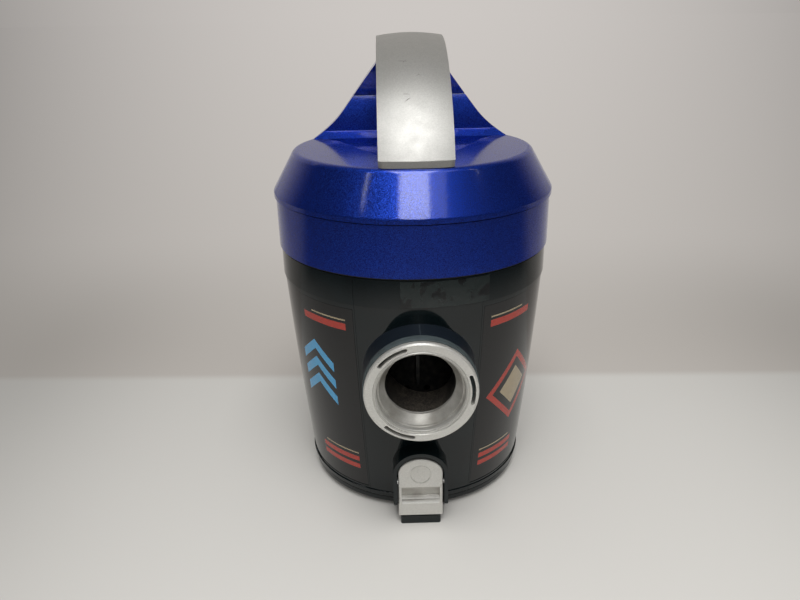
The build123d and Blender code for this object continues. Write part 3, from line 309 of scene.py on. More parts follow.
class CONTAINER_OT_blue_shells(bpy.types.Operator):
    """Lacquer the lid, the band and the handle's shell."""

    bl_idname = "container.blue_shells"
    bl_label = "Lacquer blue shells"

    def execute(self, context):
        colours = context.scene.container_colours
        sizes = context.scene.container_sizes
        # Moulded ABS under a sprayed blue metallic and a clear coat: small flakes glint one by one
        # under a sharp reflection that waves a little where the coat has flowed.
        material, tree, place = start_finish("blue_metallic_lacquer_on_abs")
        flakes = put(tree, "ShaderNodeTexVoronoi", inputs={"Vector": place, "Scale": 1 / sizes.flake})
        lean = put(
            tree,
            "ShaderNodeVectorMath",
            MULTIPLY_ADD,
            {0: flakes.outputs["Color"], 1: (0.22, 0.22, 0.22), 2: (-0.11, -0.11, -0.11)},
        )
        surface = put(tree, "ShaderNodeNewGeometry").outputs["Normal"]
        tilted = put(tree, "ShaderNodeVectorMath", {"operation": "ADD"}, {0: surface, 1: lean.outputs[0]})
        tilted = put(tree, "ShaderNodeVectorMath", {"operation": "NORMALIZE"}, {0: tilted.outputs[0]})
        glint = put(tree, "ShaderNodeSeparateColor", inputs={"Color": flakes.outputs["Color"]})
        cloud = put(tree, "ShaderNodeTexNoise", inputs={"Vector": place, "Scale": 1 / 0.02, "Detail": 3.0})
        share = put(tree, "ShaderNodeMath", MULTIPLY_ADD, {0: glint.outputs["Red"], 1: 0.6, 2: 0.02})
        share = put(
            tree,
            "ShaderNodeMath",
            {"operation": "MULTIPLY_ADD", "use_clamp": True},
            {0: cloud.outputs["Fac"], 1: 0.08, 2: share.outputs[0]},
        )
        tint = put(
            tree,
            "ShaderNodeMix",
            BLEND,
            {0: share.outputs[0], 6: rgba(colours.blue_deep), 7: rgba(colours.blue_bright)},
        )
        shader = put(
            tree,
            "ShaderNodeBsdfPrincipled",
            inputs={
                "Base Color": tint.outputs[2],
                "Metallic": 0.9,
                "Roughness": 0.46,
                "Specular Tint": (0.3, 0.38, 0.9, 1.0),
                "Normal": tilted.outputs[0],
                "Coat Weight": 1.0,
                "Coat Roughness": 0.11,
                "Coat IOR": 1.56,
                "Coat Normal": emboss(tree, place, sizes.peel, 1.0, 0.08, 0.0004),
            },
        )
        end_finish(tree, shader)
        dress(material, "lid_cap", "upper_band", "handle_shell")
        return {"FINISHED"}


class CONTAINER_OT_silver_trim(bpy.types.Operator):
    """Paint the handle's strap, the inlet ring and the push latch."""

    bl_idname = "container.silver_trim"
    bl_label = "Paint silver trim"

    def execute(self, context):
        colours = context.scene.container_colours
        strap, matt = tuple(colours.silver), tuple(colours.silver_matt)
        strap_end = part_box("handle_trim")[1]
        pad = (0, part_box("push_latch")[0].y, 0)
        # Node, finish, colour, metallic, roughness range, wear, height in metres above which hands wear it,
        # then a point and the tilt of the front plane, and how far behind it the painted shade is darkest
        spout = (spout_centre(), SPOUT_TILT, 0.004)
        finishes = (
            ("handle_trim", "flake_silver_paint", strap, 0.7, (0.42, 0.5), 1.0, 0.25, (strap_end, 0.0, 1.0)),
            ("inlet_ring", "matt_silver_paint", matt, 0.45, (0.36, 0.46), 0.35, 0.0, spout),
            ("push_latch", "pad_silver_paint", matt, 0.45, (0.36, 0.46), 0.35, 0.0, (pad, 0.0, 0.0011)),
        )
        for name, title, colour, metal, gloss, wear, worn_above, (plane, tilt, deep) in finishes:
            # Silver paint on ABS: fine flakes, drawn coarser than life so that they show, give an even sheen
            # that spreads the light widely. Hands and hose ends leave hairline scuffs, and a brownish painted
            # shade, in patches, darkens the recesses the deeper they lie behind the front plane.
            material, tree, place = start_finish(title + "_on_abs")
            flakes = put(tree, "ShaderNodeTexVoronoi", inputs={"Vector": place, "Scale": 1 / 0.00045})
            glint = put(tree, "ShaderNodeSeparateColor", inputs={"Color": flakes.outputs["Color"]})
            cells = put(
                tree,
                "ShaderNodeTexVoronoi",
                {"feature": "DISTANCE_TO_EDGE"},
                {"Vector": place, "Scale": 1 / 0.013},
            )
            hair = put(
                tree,
                "ShaderNodeMapRange",
                inputs={0: cells.outputs["Distance"], 1: 0.006, 2: 0.012, 3: wear, 4: 0.0},
            )
            rubbed = mottle(tree, place, 0.012, 2.0, (0.6, 0.7), (0.0, 1.0))
            spot = put(tree, "ShaderNodeSeparateXYZ", inputs={0: place})
            handled = put(
                tree, "ShaderNodeMath", {"operation": "GREATER_THAN"}, {0: spot.outputs["Z"], 1: worn_above}
            )
            scuff = put(tree, "ShaderNodeMath", MULTIPLY, {0: hair.outputs[0], 1: rubbed})
            scuff = put(tree, "ShaderNodeMath", MULTIPLY, {0: scuff.outputs[0], 1: handled.outputs[0]})
            shade = put(
                tree, "ShaderNodeMapRange", inputs={0: glint.outputs["Red"], 1: 0.0, 2: 1.0, 3: 0.92, 4: 1.06}
            )
            paint = put(
                tree, "ShaderNodeVectorMath", {"operation": "SCALE"}, {0: colour, 3: shade.outputs[0]}
            )
            wear_and_shade = put(
                tree,
                "ShaderNodeMix",
                BLEND,
                {0: scuff.outputs[0], 6: paint.outputs[0], 7: rgba(linear("#5E5C58"))},
            )
            inward = put(
                tree,
                "ShaderNodeMapping",
                {"vector_type": "TEXTURE"},
                {"Vector": place, "Location": plane, "Rotation": (tilt, 0, 0)},
            )
            inward = put(tree, "ShaderNodeSeparateXYZ", inputs={0: inward.outputs[0]})
            # Painted shade: the paint turns brownish dark the deeper it lies behind the front plane, in
            # patches.
            recess = put(
                tree,
                "ShaderNodeMapRange",
                inputs={0: inward.outputs["Y"], 1: 0.0003, 2: deep, 3: 0.0, 4: 1.0},
            )
            patches = mottle(tree, place, 0.012, 2.0, (0.3, 0.7), (0.25, 0.7))
            recess_shade = put(tree, "ShaderNodeMath", MULTIPLY, {0: recess.outputs[0], 1: patches})
            wear_and_shade = put(
                tree,
                "ShaderNodeMix",
                BLEND,
                {0: recess_shade.outputs[0], 6: wear_and_shade.outputs[2], 7: rgba(linear("#625C50"))},
            )
            press = put(
                tree,
                "ShaderNodeBump",
                {"invert": True},
                {"Strength": 0.4, "Distance": 0.0002, "Height": scuff.outputs[0]},
            )
            shader = put(
                tree,
                "ShaderNodeBsdfPrincipled",
                inputs={
                    "Base Color": wear_and_shade.outputs[2],
                    "Metallic": metal,
                    "Roughness": mottle(tree, place, 0.006, 4.0, (0.3, 0.7), gloss),
                    "Normal": press.outputs[0],
                },
            )
            end_finish(tree, shader)
            dress(material, name)
        return {"FINISHED"}


class CONTAINER_OT_smoked_cup(bpy.types.Operator):
    """Mould the cup, its front panel and its flap."""

    bl_idname = "container.smoked_cup"
    bl_label = "Mould smoked cup"

    def execute(self, context):
        colours = context.scene.container_colours
        # Injection-moulded smoked styrene: almost black, with a sharp gloss, faint flow clouds
        # and a light haze of dust that lifts the shade in patches.
        material, tree, place = start_finish("smoked_styrene_moulded")
        flow = put(
            tree,
            "ShaderNodeTexNoise",
            inputs={"Vector": place, "Scale": 1 / 0.03, "Detail": 4.0, "Distortion": 0.6},
        )
        depth = put(
            tree, "ShaderNodeMapRange", inputs={0: flow.outputs["Fac"], 1: 0.3, 2: 0.7, 3: 0.75, 4: 1.3}
        )
        tone = put(
            tree,
            "ShaderNodeVectorMath",
            {"operation": "SCALE"},
            {0: tuple(colours.cup_grey), 3: depth.outputs[0]},
        )
        dusty = mottle(tree, place, 0.0016, 3.0, (0.35, 0.75), (0.05, 0.11))
        # The inlet's collar is rubbed satin by hose ends, and the mould's parting line runs along its top.
        spot = put(
            tree,
            "ShaderNodeMapping",
            {"vector_type": "TEXTURE"},
            {"Vector": place, "Location": spout_centre(), "Rotation": (SPOUT_TILT, 0, 0)},
        )
        away = put(tree, "ShaderNodeVectorMath", MULTIPLY, {0: spot.outputs[0], 1: (1, 0, 1)})
        away = put(tree, "ShaderNodeVectorMath", {"operation": "LENGTH"}, {0: away.outputs[0]})
        collar = put(tree, "ShaderNodeMath", COMPARE, {0: away.outputs["Value"], 1: COLLAR_RADIUS, 2: 0.0003})
        parts = put(tree, "ShaderNodeSeparateXYZ", inputs={0: spot.outputs[0]})
        seam = put(tree, "ShaderNodeMath", COMPARE, {0: parts.outputs["X"], 1: 0.0, 2: 0.00012})
        above = put(tree, "ShaderNodeMath", {"operation": "GREATER_THAN"}, {0: parts.outputs["Z"], 1: 0.03})
        seam = put(tree, "ShaderNodeMath", MULTIPLY, {0: seam.outputs[0], 1: above.outputs[0]})
        satin = put(
            tree,
            "ShaderNodeMix",
            BLEND,
            {0: seam.outputs[0], 6: rgba(linear("#161D25")), 7: rgba(linear("#414A50"))},
        )
        tone = put(
            tree, "ShaderNodeMix", BLEND, {0: collar.outputs[0], 6: tone.outputs[0], 7: satin.outputs[2]}
        )
        rough = put(tree, "ShaderNodeMath", MULTIPLY_ADD, {0: collar.outputs[0], 1: 0.3, 2: dusty})
        shader = put(
            tree,
            "ShaderNodeBsdfPrincipled",
            inputs={"Base Color": tone.outputs[2], "Roughness": rough.outputs[0], "IOR": 1.46},
        )
        end_finish(tree, shader)
        dress(material, "dust_cup", "cup_front", "bottom_flap")
        return {"FINISHED"}


class CONTAINER_OT_label_films(bpy.types.Operator):
    """Print the two label films."""

    bl_idname = "container.label_films"
    bl_label = "Print label films"

    def execute(self, context):
        colours = context.scene.container_colours
        for side, name in ((1, "label_right"), (-1, "label_left")):
            low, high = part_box(name)
            # Dark printed polyester film: a smooth gloss over flat inks with crisp edges.
            material, tree, place = start_finish("printed_polyester_film_" + name[6:])
            spot = put(tree, "ShaderNodeSeparateXYZ", inputs={0: place})
            front = put(tree, "ShaderNodeMath", MULTIPLY, {0: spot.outputs["Y"], 1: -1.0})
            turn = put(
                tree, "ShaderNodeMath", {"operation": "ARCTAN2"}, {0: spot.outputs["X"], 1: front.outputs[0]}
            )
            # Millimetres round the wall from the motif's middle, and up from the label's middle
            across = put(
                tree,
                "ShaderNodeMath",
                MULTIPLY_ADD,
                {0: turn.outputs[0], 1: LABEL_RADIUS, 2: -side * MOTIF_TURN * LABEL_RADIUS},
            )
            up = put(
                tree,
                "ShaderNodeMath",
                MULTIPLY_ADD,
                {0: spot.outputs["Z"], 1: 1000.0, 2: -500.0 * (low.z + high.z)},
            )
            wide = put(tree, "ShaderNodeMath", {"operation": "ABSOLUTE"}, {0: across.outputs[0]})
            ink = rgba(colours.label_ground)
            shapes = self.right_motif if side > 0 else self.left_motif
            for mask, colour in shapes(tree, colours, across.outputs[0], wide.outputs[0], up.outputs[0]):
                ink = put(tree, "ShaderNodeMix", BLEND, {0: mask, 6: ink, 7: rgba(colour)}).outputs[2]
            rough = mottle(tree, place, 0.002, 3.0, (0.3, 0.8), (0.08, 0.14))
            shader = put(
                tree, "ShaderNodeBsdfPrincipled", inputs={"Base Color": ink, "Roughness": rough, "IOR": 1.45}
            )
            end_finish(tree, shader)
            dress(material, name)
        return {"FINISHED"}

    def bars(self, tree, colours, across, up, side):
        """Level bars above and below a motif: red ones, each group under a thin pale line."""
        red, pale = colours.label_red, colours.label_cream
        # Level of the middle, half the width, half the height, in millimetres, and the ink
        rows = (
            (56.4, 13.0, 0.45, pale),
            (52.0, 17.0, 2.2, red),
            (-39.4, 15.0, 0.45, pale),
            (-44.0, 17.0, 1.8, red),
            (-50.0, 17.0, 1.8, red),
        )
        shapes = []
        for level, half, tall, colour in rows:
            centre = side * (BAR_START + half)
            wide = put(tree, "ShaderNodeMath", COMPARE, {0: across, 1: centre, 2: half})
            high = put(tree, "ShaderNodeMath", COMPARE, {0: up, 1: level, 2: tall})
            mask = put(tree, "ShaderNodeMath", MULTIPLY, {0: wide.outputs[0], 1: high.outputs[0]})
            shapes.append((mask.outputs[0], colour))
        return shapes

    def left_motif(self, tree, colours, across, wide, up):
        """Three blue chevrons that point upwards, with bars above and below."""
        rise = put(tree, "ShaderNodeMath", MULTIPLY_ADD, {0: wide, 1: 0.8, 2: up})
        within = put(tree, "ShaderNodeMath", {"operation": "LESS_THAN"}, {0: wide, 1: 15.0})
        shapes = []
        for level in (33.0, 21.0, 9.0):
            band = put(tree, "ShaderNodeMath", COMPARE, {0: rise.outputs[0], 1: level, 2: 3.2})
            mask = put(tree, "ShaderNodeMath", MULTIPLY, {0: band.outputs[0], 1: within.outputs[0]})
            shapes.append((mask.outputs[0], colours.label_sky))
        return shapes + self.bars(tree, colours, across, up, -1)

    def right_motif(self, tree, colours, across, wide, up):
        """Cream lozenge in a red lozenge frame, with bars above and below."""
        tall = put(tree, "ShaderNodeMath", {"operation": "ABSOLUTE"}, {0: up})
        reach = put(tree, "ShaderNodeMath", {"operation": "ADD"}, {0: wide, 1: tall.outputs[0]})
        core = put(tree, "ShaderNodeMath", {"operation": "LESS_THAN"}, {0: reach.outputs[0], 1: 14.0})
        rim = put(tree, "ShaderNodeMath", COMPARE, {0: reach.outputs[0], 1: 23.0, 2: 2.6})
        shapes = [(core.outputs[0], colours.label_cream), (rim.outputs[0], colours.label_red)]
        return shapes + self.bars(tree, colours, across, up, 1)


class CONTAINER_OT_black_mouldings(bpy.types.Operator):
    """Grain the inlet tube and the separator's mouldings."""

    bl_idname = "container.black_mouldings"
    bl_label = "Grain black mouldings"

    def execute(self, context):
        sizes = context.scene.container_sizes
        # Black ABS from a spark-eroded mould: a fine even grain that dulls the light, with grey dust in it.
        material, tree, place = start_finish("grained_black_abs")
        dust = mottle(tree, place, 0.004, 4.0, (0.45, 0.8), (0.0, 0.5))
        # Dust settles on what faces up.
        facing = put(tree, "ShaderNodeNewGeometry").outputs["Normal"]
        facing = put(tree, "ShaderNodeSeparateXYZ", inputs={0: facing})
        settled = put(
            tree, "ShaderNodeMapRange", inputs={0: facing.outputs["Z"], 1: 0.3, 2: 1.0, 3: 0.0, 4: 0.75}
        )
        speckle = mottle(tree, place, sizes.grain, 2.0, (0.4, 0.62), (0.1, 1.0))
        settled = put(tree, "ShaderNodeMath", MULTIPLY, {0: settled.outputs[0], 1: speckle})
        share = put(
            tree, "ShaderNodeMath", {"operation": "ADD", "use_clamp": True}, {0: dust, 1: settled.outputs[0]}
        )
        tone = put(
            tree,
            "ShaderNodeMix",
            BLEND,
            {0: share.outputs[0], 6: rgba(linear("#191A1B")), 7: rgba(linear("#5C554C"))},
        )
        relief = emboss(tree, place, sizes.grain, 2.0, 0.35, 0.0003)
        shader = put(
            tree,
            "ShaderNodeBsdfPrincipled",
            inputs={"Base Color": tone.outputs[2], "Roughness": 0.5, "IOR": 1.53, "Normal": relief},
        )
        end_finish(tree, shader)
        dress(
            material,
            "inlet_tube",
            "filter_deck",
            "outlet_grille",
            "cone_cluster",
            "vortex_plate",
            "mesh_screen",
            "inlet_vane",
            "dust_skirt",
            "dust_funnel",
            "fine_dust_tube",
            "filter_frame",
        )
        return {"FINISHED"}


class CONTAINER_OT_rubber_seals(bpy.types.Operator):
    """Finish the gaskets and seals."""

    bl_idname = "container.rubber_seals"
    bl_label = "Finish rubber seals"

    def execute(self, context):
        colours = context.scene.container_colours
        finishes = (
            ("moulded_pale_silicone", tuple(colours.rubber_pale), ("inlet_gasket",)),
            (
                "moulded_black_nitrile",
                linear("#1B1B1B"),
                ("flap_seal", "centre_seal", "cup_seal", "outlet_gasket", "filter_seal", "lid_seal"),
            ),
        )
        for title, colour, names in finishes:
            # Moulded rubber: matt and even, with a soft bloom in patches and a faint skin texture.
            material, tree, place = start_finish(title)
            bloom = mottle(tree, place, 0.005, 4.0, (0.3, 0.7), (0.82, 1.18))
            tone = put(tree, "ShaderNodeVectorMath", {"operation": "SCALE"}, {0: colour, 3: bloom})
            skin = emboss(tree, place, 0.0008, 2.0, 0.2, 0.0002)
            shader = put(
                tree,
                "ShaderNodeBsdfPrincipled",
                inputs={"Base Color": tone.outputs[0], "Roughness": 0.62, "IOR": 1.5, "Normal": skin},
            )
            end_finish(tree, shader)
            dress(material, *names)
        return {"FINISHED"}


class CONTAINER_OT_steel_fixings(bpy.types.Operator):
    """Finish the pins, the leaf spring and the screws."""

    bl_idname = "container.steel_fixings"
    bl_label = "Finish steel fixings"

    def execute(self, context):
        # Drawn stainless steel: bright, with fine lines along the drawing direction, drawn coarser than life
        # so that they show.
        material, tree, place = start_finish("drawn_stainless_steel")
        long, thin = 0.006, 0.0003
        lines = put(
            tree, "ShaderNodeMapping", inputs={"Vector": place, "Scale": (1 / long, 1 / thin, 1 / thin)}
        ).outputs[0]
        shader = put(
            tree,
            "ShaderNodeBsdfPrincipled",
            inputs={
                "Base Color": rgba(linear("#C3C2C0")),
                "Metallic": 1.0,
                "Roughness": mottle(tree, lines, 1.0, 2.0, (0.3, 0.7), (0.2, 0.38)),
                "Normal": emboss(tree, lines, 1.0, 2.0, 0.15, 0.0001),
            },
        )
        end_finish(tree, shader)
        dress(material, "hinge_pin", "latch_pin", "latch_spring", "handle_screws")
        return {"FINISHED"}


class CONTAINER_OT_filter_paper(bpy.types.Operator):
    """Finish the pleated filter."""

    bl_idname = "container.filter_paper"
    bl_label = "Finish filter paper"

    def execute(self, context):
        # Pleated glass-fibre paper: off-white and matt, with loose fibres and dust in the folds.
        material, tree, place = start_finish("pleated_fibre_paper")
        dust = mottle(tree, place, 0.012, 4.0, (0.4, 0.75), (0.0, 0.6))
        tone = put(
            tree, "ShaderNodeMix", BLEND, {0: dust, 6: rgba(linear("#E4E2DA")), 7: rgba(linear("#A8A298"))}
        )
        fibres = emboss(tree, place, 0.0012, 6.0, 0.5, 0.0003)
        shader = put(
            tree,
            "ShaderNodeBsdfPrincipled",
            inputs={"Base Color": tone.outputs[2], "Roughness": 0.9, "Normal": fibres},
        )
        end_finish(tree, shader)
        dress(material, "filter_media")
        return {"FINISHED"}


class CONTAINER_OT_push_ring(bpy.types.Operator):
    """Raise the ring on the push latch's pad."""

    bl_idname = "container.push_ring"
    bl_label = "Raise push ring"

    def execute(self, context):
        sizes = context.scene.container_sizes
        low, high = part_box("push_latch")
        bpy.ops.object.select_all(action="DESELECT")
        bpy.ops.mesh.primitive_circle_add(
            vertices=64,
            radius=sizes.push_ring,
            fill_type="NGON",
            location=(0, low.y, high.z - 0.011),
            rotation=(math.radians(90), 0, 0),
        )
        ring = context.object
        ring.name = "push_ring"
        bpy.ops.object.mode_set(mode="EDIT")
        bpy.ops.mesh.select_all(action="SELECT")
        bpy.ops.mesh.inset(thickness=sizes.push_ring_line, depth=0)
        bpy.ops.mesh.delete(type="FACE")
        bpy.ops.mesh.select_all(action="SELECT")
        bpy.ops.mesh.extrude_region_move(
            TRANSFORM_OT_translate={"value": (0, -0.5 * sizes.push_ring_line, 0), "orient_type": "GLOBAL"}
        )
        bpy.ops.mesh.bevel(offset=0.3 * sizes.push_ring_line, segments=2)
        bpy.ops.mesh.select_all(action="SELECT")
        bpy.ops.mesh.normals_make_consistent(inside=False)
        bpy.ops.object.mode_set(mode="OBJECT")
        bpy.ops.object.transform_apply(location=True, rotation=True, scale=True)
        bpy.ops.object.shade_smooth_by_angle(angle=math.radians(35))
        ring.data.materials.append(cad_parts["push_latch"].material_slots[0].material)
        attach(ring, "latch")
        return {"FINISHED"}


class CONTAINER_OT_gasket_lip(bpy.types.Operator):
    """Draw the gasket's lip over the inlet ring's edge."""

    bl_idname = "container.gasket_lip"
    bl_label = "Draw gasket lip"

    def execute(self, context):
        outer, inner = COLLAR_RADIUS - 0.00002, COLLAR_RADIUS - 0.00066
        profile = [
            (inner, -0.00598),
            (outer, -0.00598),
            (outer, -0.0037),
            (outer - 0.0001, -0.0034),
            (outer - 0.0003, -0.0032),
            (inner, -0.0032),
        ]
        lip = turn_ring(context, "gasket_lip", profile)
        lip.data.materials.append(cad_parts["inlet_gasket"].material_slots[0].material)
        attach(lip, "cup")
        return {"FINISHED"}


class CONTAINER_OT_mouth_liner(bpy.types.Operator):
    """Set the stepped liner in the inlet ring's mouth."""

    bl_idname = "container.mouth_liner"
    bl_label = "Set mouth liner"

    def execute(self, context):
        profile = [
            (0.02572, -0.0012),
            (0.02545, -0.00095),
            (0.02515, -0.0012),
            (0.025, -0.0046),
            (0.0247, -0.0048),
            (0.0241, -0.0048),
            (0.0238, -0.005),
            (0.0207, -0.0107),
            (0.02045, -0.0109),
            (0.0203, -0.0113),
            (0.0203, -0.0116),
            (0.02115, -0.0116),
            (0.02572, -0.0026),
        ]
        liner = turn_ring(context, "mouth_liner", profile)
        liner.data.materials.append(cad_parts["inlet_ring"].material_slots[0].material)
        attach(liner, "cup")
        return {"FINISHED"}


class CONTAINER_OT_collar_film(bpy.types.Operator):
    """Lay the clear film on the front of the cup's collar."""

    bl_idname = "container.collar_film"
    bl_label = "Lay collar film"

    def execute(self, context):
        sizes = context.scene.container_sizes
        low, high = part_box("dust_cup")
        bpy.ops.object.select_all(action="DESELECT")
        bpy.ops.mesh.primitive_cylinder_add(
            vertices=360,
            radius=high.x + 0.00005,
            depth=sizes.film_height,
            end_fill_type="NOTHING",
            location=(0, 0, high.z - 0.0006 - sizes.film_height / 2),
        )
        film = context.object
        film.name = "collar_film"
        bpy.ops.object.mode_set(mode="EDIT")
        bpy.ops.mesh.select_all(action="DESELECT")
        bpy.ops.object.mode_set(mode="OBJECT")
        for face in film.data.polygons:
            turn = math.atan2(face.center.x, -face.center.y)
            face.select = not sizes.film_start < turn < sizes.film_end
        bpy.ops.object.mode_set(mode="EDIT")
        bpy.ops.mesh.delete(type="FACE")
        bpy.ops.object.mode_set(mode="OBJECT")
        wall = film.modifiers.new("wall", "SOLIDIFY")
        wall.thickness = 0.00025
        wall.offset = 1.0
        edge = film.modifiers.new("edge", "BEVEL")
        edge.width = 0.0001
        edge.segments = 2
        bpy.ops.object.modifier_apply(modifier="wall")
        bpy.ops.object.modifier_apply(modifier="edge")
        bpy.ops.object.transform_apply(location=True, rotation=True, scale=True)
        bpy.ops.object.shade_smooth_by_angle(angle=math.radians(15))
        # Clear polypropylene film over the dark collar: a wet gloss that ripples where air is caught
        # under it, and a faint milky haze that lifts the shade.
        material, tree, place = start_finish("clear_polypropylene_film_on_styrene")
        milky = mottle(tree, place, 0.009, 3.0, (0.4, 0.46), (0.0, 1.0))
        tone = put(
            tree, "ShaderNodeMix", BLEND, {0: milky, 6: rgba(linear("#0A0D0F")), 7: rgba(linear("#1C2323"))}
        )
        ripple = emboss(tree, place, 0.008, 1.0, 0.06, 0.001)
        shader = put(
            tree,
            "ShaderNodeBsdfPrincipled",
            inputs={"Base Color": tone.outputs[2], "Roughness": 0.1, "IOR": 1.5, "Normal": ripple},
        )
        end_finish(tree, shader)
        film.data.materials.append(material)
        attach(film, "cup")
        return {"FINISHED"}


class CONTAINER_OT_stage(bpy.types.Operator):
    """Set the floor, the soft lights, the pale surroundings and the camera."""

    bl_idname = "container.stage"
    bl_label = "Set the studio"

    def execute(self, context):
        scene = context.scene
        colours = scene.container_colours
        scene.view_settings.view_transform = "Standard"
        self.lay_floor(context, colours)
        self.hang_lights(context)
        self.surround(scene)
        self.place_camera(scene)
        return {"FINISHED"}

    def lay_floor(self, context, colours):
        """Wide matt table with a fold behind the container, from where it is seen as a pale backdrop."""
        bpy.ops.object.select_all(action="DESELECT")
        bpy.ops.mesh.primitive_circle_add(
            vertices=96, radius=FLOOR_RADIUS, fill_type="NGON", location=(0, 0, 0)
        )
        floor = context.object
        floor.name = "studio_floor"
        # Matt paper: an even pale ground that takes a soft shadow and has a faint fibre.
        material, tree, place = start_finish("matt_paper_sweep")
        spot = put(tree, "ShaderNodeSeparateXYZ", inputs={0: place})
        depth = put(
            tree, "ShaderNodeMath", MULTIPLY_ADD, {0: spot.outputs["X"], 1: FOLD_SLANT, 2: spot.outputs["Y"]}
        )
        # How high the backdrop stands above the fold: 0 at the fold, 1 at the horizon.
        far = put(tree, "ShaderNodeMath", {"operation": "ADD"}, {0: depth.outputs[0], 1: CAMERA_BACK})
        far = put(tree, "ShaderNodeMath", MAXIMUM, {0: far.outputs[0], 1: 0.3})
        drop = put(
            tree, "ShaderNodeMath", {"operation": "DIVIDE"}, {0: FOLD + CAMERA_BACK, 1: far.outputs[0]}
        )
        rise = put(
            tree, "ShaderNodeMath", {"operation": "SUBTRACT", "use_clamp": True}, {0: 1.0, 1: drop.outputs[0]}
        )
        # The sides fall off, and more so higher up.
        fall = put(tree, "ShaderNodeMath", MULTIPLY_ADD, {0: rise.outputs[0], 1: -0.9, 2: -0.4})
        level = self.side_level(tree, spot.outputs["X"], far.outputs[0], fall.outputs[0])
        drape = put(
            tree,
            "ShaderNodeMix",
            BLEND,
            {0: rise.outputs[0], 6: rgba(colours.backdrop_low), 7: rgba(colours.backdrop_high)},
        )
        glow = put(tree, "ShaderNodeEmission", inputs={"Color": drape.outputs[2], "Strength": level})
        fold = put(
            tree,
            "ShaderNodeMapRange",
            SMOOTH,
            {0: depth.outputs[0], 1: FOLD - FOLD_HALF, 2: FOLD + FOLD_HALF, 3: 0.0, 4: 1.0},
        )
        tone = put(
            tree,
            "ShaderNodeMix",
            BLEND,
            {0: fold.outputs[0], 6: rgba(colours.floor_near), 7: rgba(colours.floor_far)},
        )
        # Painted shade: the table's paper is darkened to both sides, where the light falls off, and less so
        # behind the fold.
        offside = put(tree, "ShaderNodeMath", {"operation": "ADD"}, {0: spot.outputs["X"], 1: -0.03})
        offside = put(tree, "ShaderNodeMath", MULTIPLY, {0: offside.outputs[0], 1: offside.outputs[0]})
        painted_side_shade = put(
            tree, "ShaderNodeMapRange", SMOOTH, {0: offside.outputs[0], 1: 0.0, 2: 0.16, 3: 1.0, 4: 0.64}
        )
        painted_side_shade = put(tree, "ShaderNodeMath", MULTIPLY_ADD, {0: fold.outputs[0], 1: 0.14, 2: painted_side_shade.outputs[0]})
        tone = put(
            tree, "ShaderNodeVectorMath", {"operation": "SCALE"}, {0: tone.outputs[2], 3: painted_side_shade.outputs[0]}
        )
        fibre = emboss(tree, place, 0.003, 3.0, 0.05, 0.0003)
        paper = put(
            tree,
            "ShaderNodeBsdfPrincipled",
            inputs={"Base Color": tone.outputs[0], "Roughness": 0.75, "Normal": fibre},
        )
        # Higher up the backdrop shines by itself, as what stands there isn't lit by the lamps.
        away = put(tree, "ShaderNodeMapRange", SMOOTH, {0: rise.outputs[0], 1: 0.02, 2: 0.45, 3: 0.0, 4: 1.0})
        shown = put(tree, "ShaderNodeMath", MULTIPLY, {0: away.outputs[0], 1: self.direct_rays(tree)})
        ground = put(
            tree, "ShaderNodeMixShader", inputs={0: shown.outputs[0], 1: paper.outputs[0], 2: glow.outputs[0]}
        )
        # In reflections the pale table ends where the light box opens towards the camera.
        out = put(tree, "ShaderNodeVectorMath", MULTIPLY, {0: place, 1: (1.0, 1.0, 0.0)})
        out = put(tree, "ShaderNodeVectorMath", {"operation": "LENGTH"}, {0: out.outputs[0]})
        brink = put(
            tree, "ShaderNodeMapRange", SMOOTH, {0: out.outputs["Value"], 1: 0.4, 2: 0.53, 3: 0.0, 4: 0.92}
        )
        front = put(
            tree, "ShaderNodeMapRange", SMOOTH, {0: spot.outputs["Y"], 1: 0.0, 2: 0.2, 3: 1.0, 4: 0.0}
        )
        brink = put(tree, "ShaderNodeMath", MULTIPLY, {0: brink.outputs[0], 1: front.outputs[0]})
        path = put(tree, "ShaderNodeLightPath")
        mirrored = put(
            tree, "ShaderNodeMath", MULTIPLY, {0: brink.outputs[0], 1: path.outputs["Is Glossy Ray"]}
        )
        room = put(tree, "ShaderNodeEmission", inputs={"Color": rgba(ROOM), "Strength": 1.0})
        ground = put(
            tree,
            "ShaderNodeMixShader",
            inputs={0: mirrored.outputs[0], 1: ground.outputs[0], 2: room.outputs[0]},
        )
        # To the front and the sides the far table passes into the pale surroundings.
        remote = put(
            tree, "ShaderNodeMapRange", SMOOTH, {0: out.outputs["Value"], 1: 0.6, 2: 1.5, 3: 0.0, 4: 1.0}
        )
        remote = put(tree, "ShaderNodeMath", MULTIPLY, {0: remote.outputs[0], 1: front.outputs[0]})
        remote = put(
            tree, "ShaderNodeMath", MULTIPLY, {0: remote.outputs[0], 1: path.outputs["Is Camera Ray"]}
        )
        haze = put(
            tree, "ShaderNodeEmission", inputs={"Color": rgba(colours.backdrop_high), "Strength": SIDE_LEVEL}
        )
        ground = put(
            tree,
            "ShaderNodeMixShader",
            inputs={0: remote.outputs[0], 1: ground.outputs[0], 2: haze.outputs[0]},
        )
        put(tree, "ShaderNodeOutputMaterial", inputs={"Surface": ground.outputs[0]})
        floor.data.materials.append(material)

    def side_level(self, tree, across, far, fall):
        """Strength of the backdrop, which falls off to the sides and rises again far out."""
        aside = put(tree, "ShaderNodeMath", {"operation": "DIVIDE"}, {0: across, 1: far})
        aside = put(tree, "ShaderNodeMath", {"operation": "SUBTRACT"}, {0: aside.outputs[0], 1: BRIGHT_SIDE})
        aside = put(tree, "ShaderNodeMath", MULTIPLY, {0: aside.outputs[0], 1: aside.outputs[0]})
        level = put(tree, "ShaderNodeMath", MULTIPLY_ADD, {0: aside.outputs[0], 1: fall, 2: 1.0})
        least = put(
            tree, "ShaderNodeMapRange", SMOOTH, {0: aside.outputs[0], 1: 0.5, 2: 2.0, 3: 0.5, 4: SIDE_LEVEL}
        )
        return put(tree, "ShaderNodeMath", MAXIMUM, {0: level.outputs[0], 1: least.outputs[0]}).outputs[0]

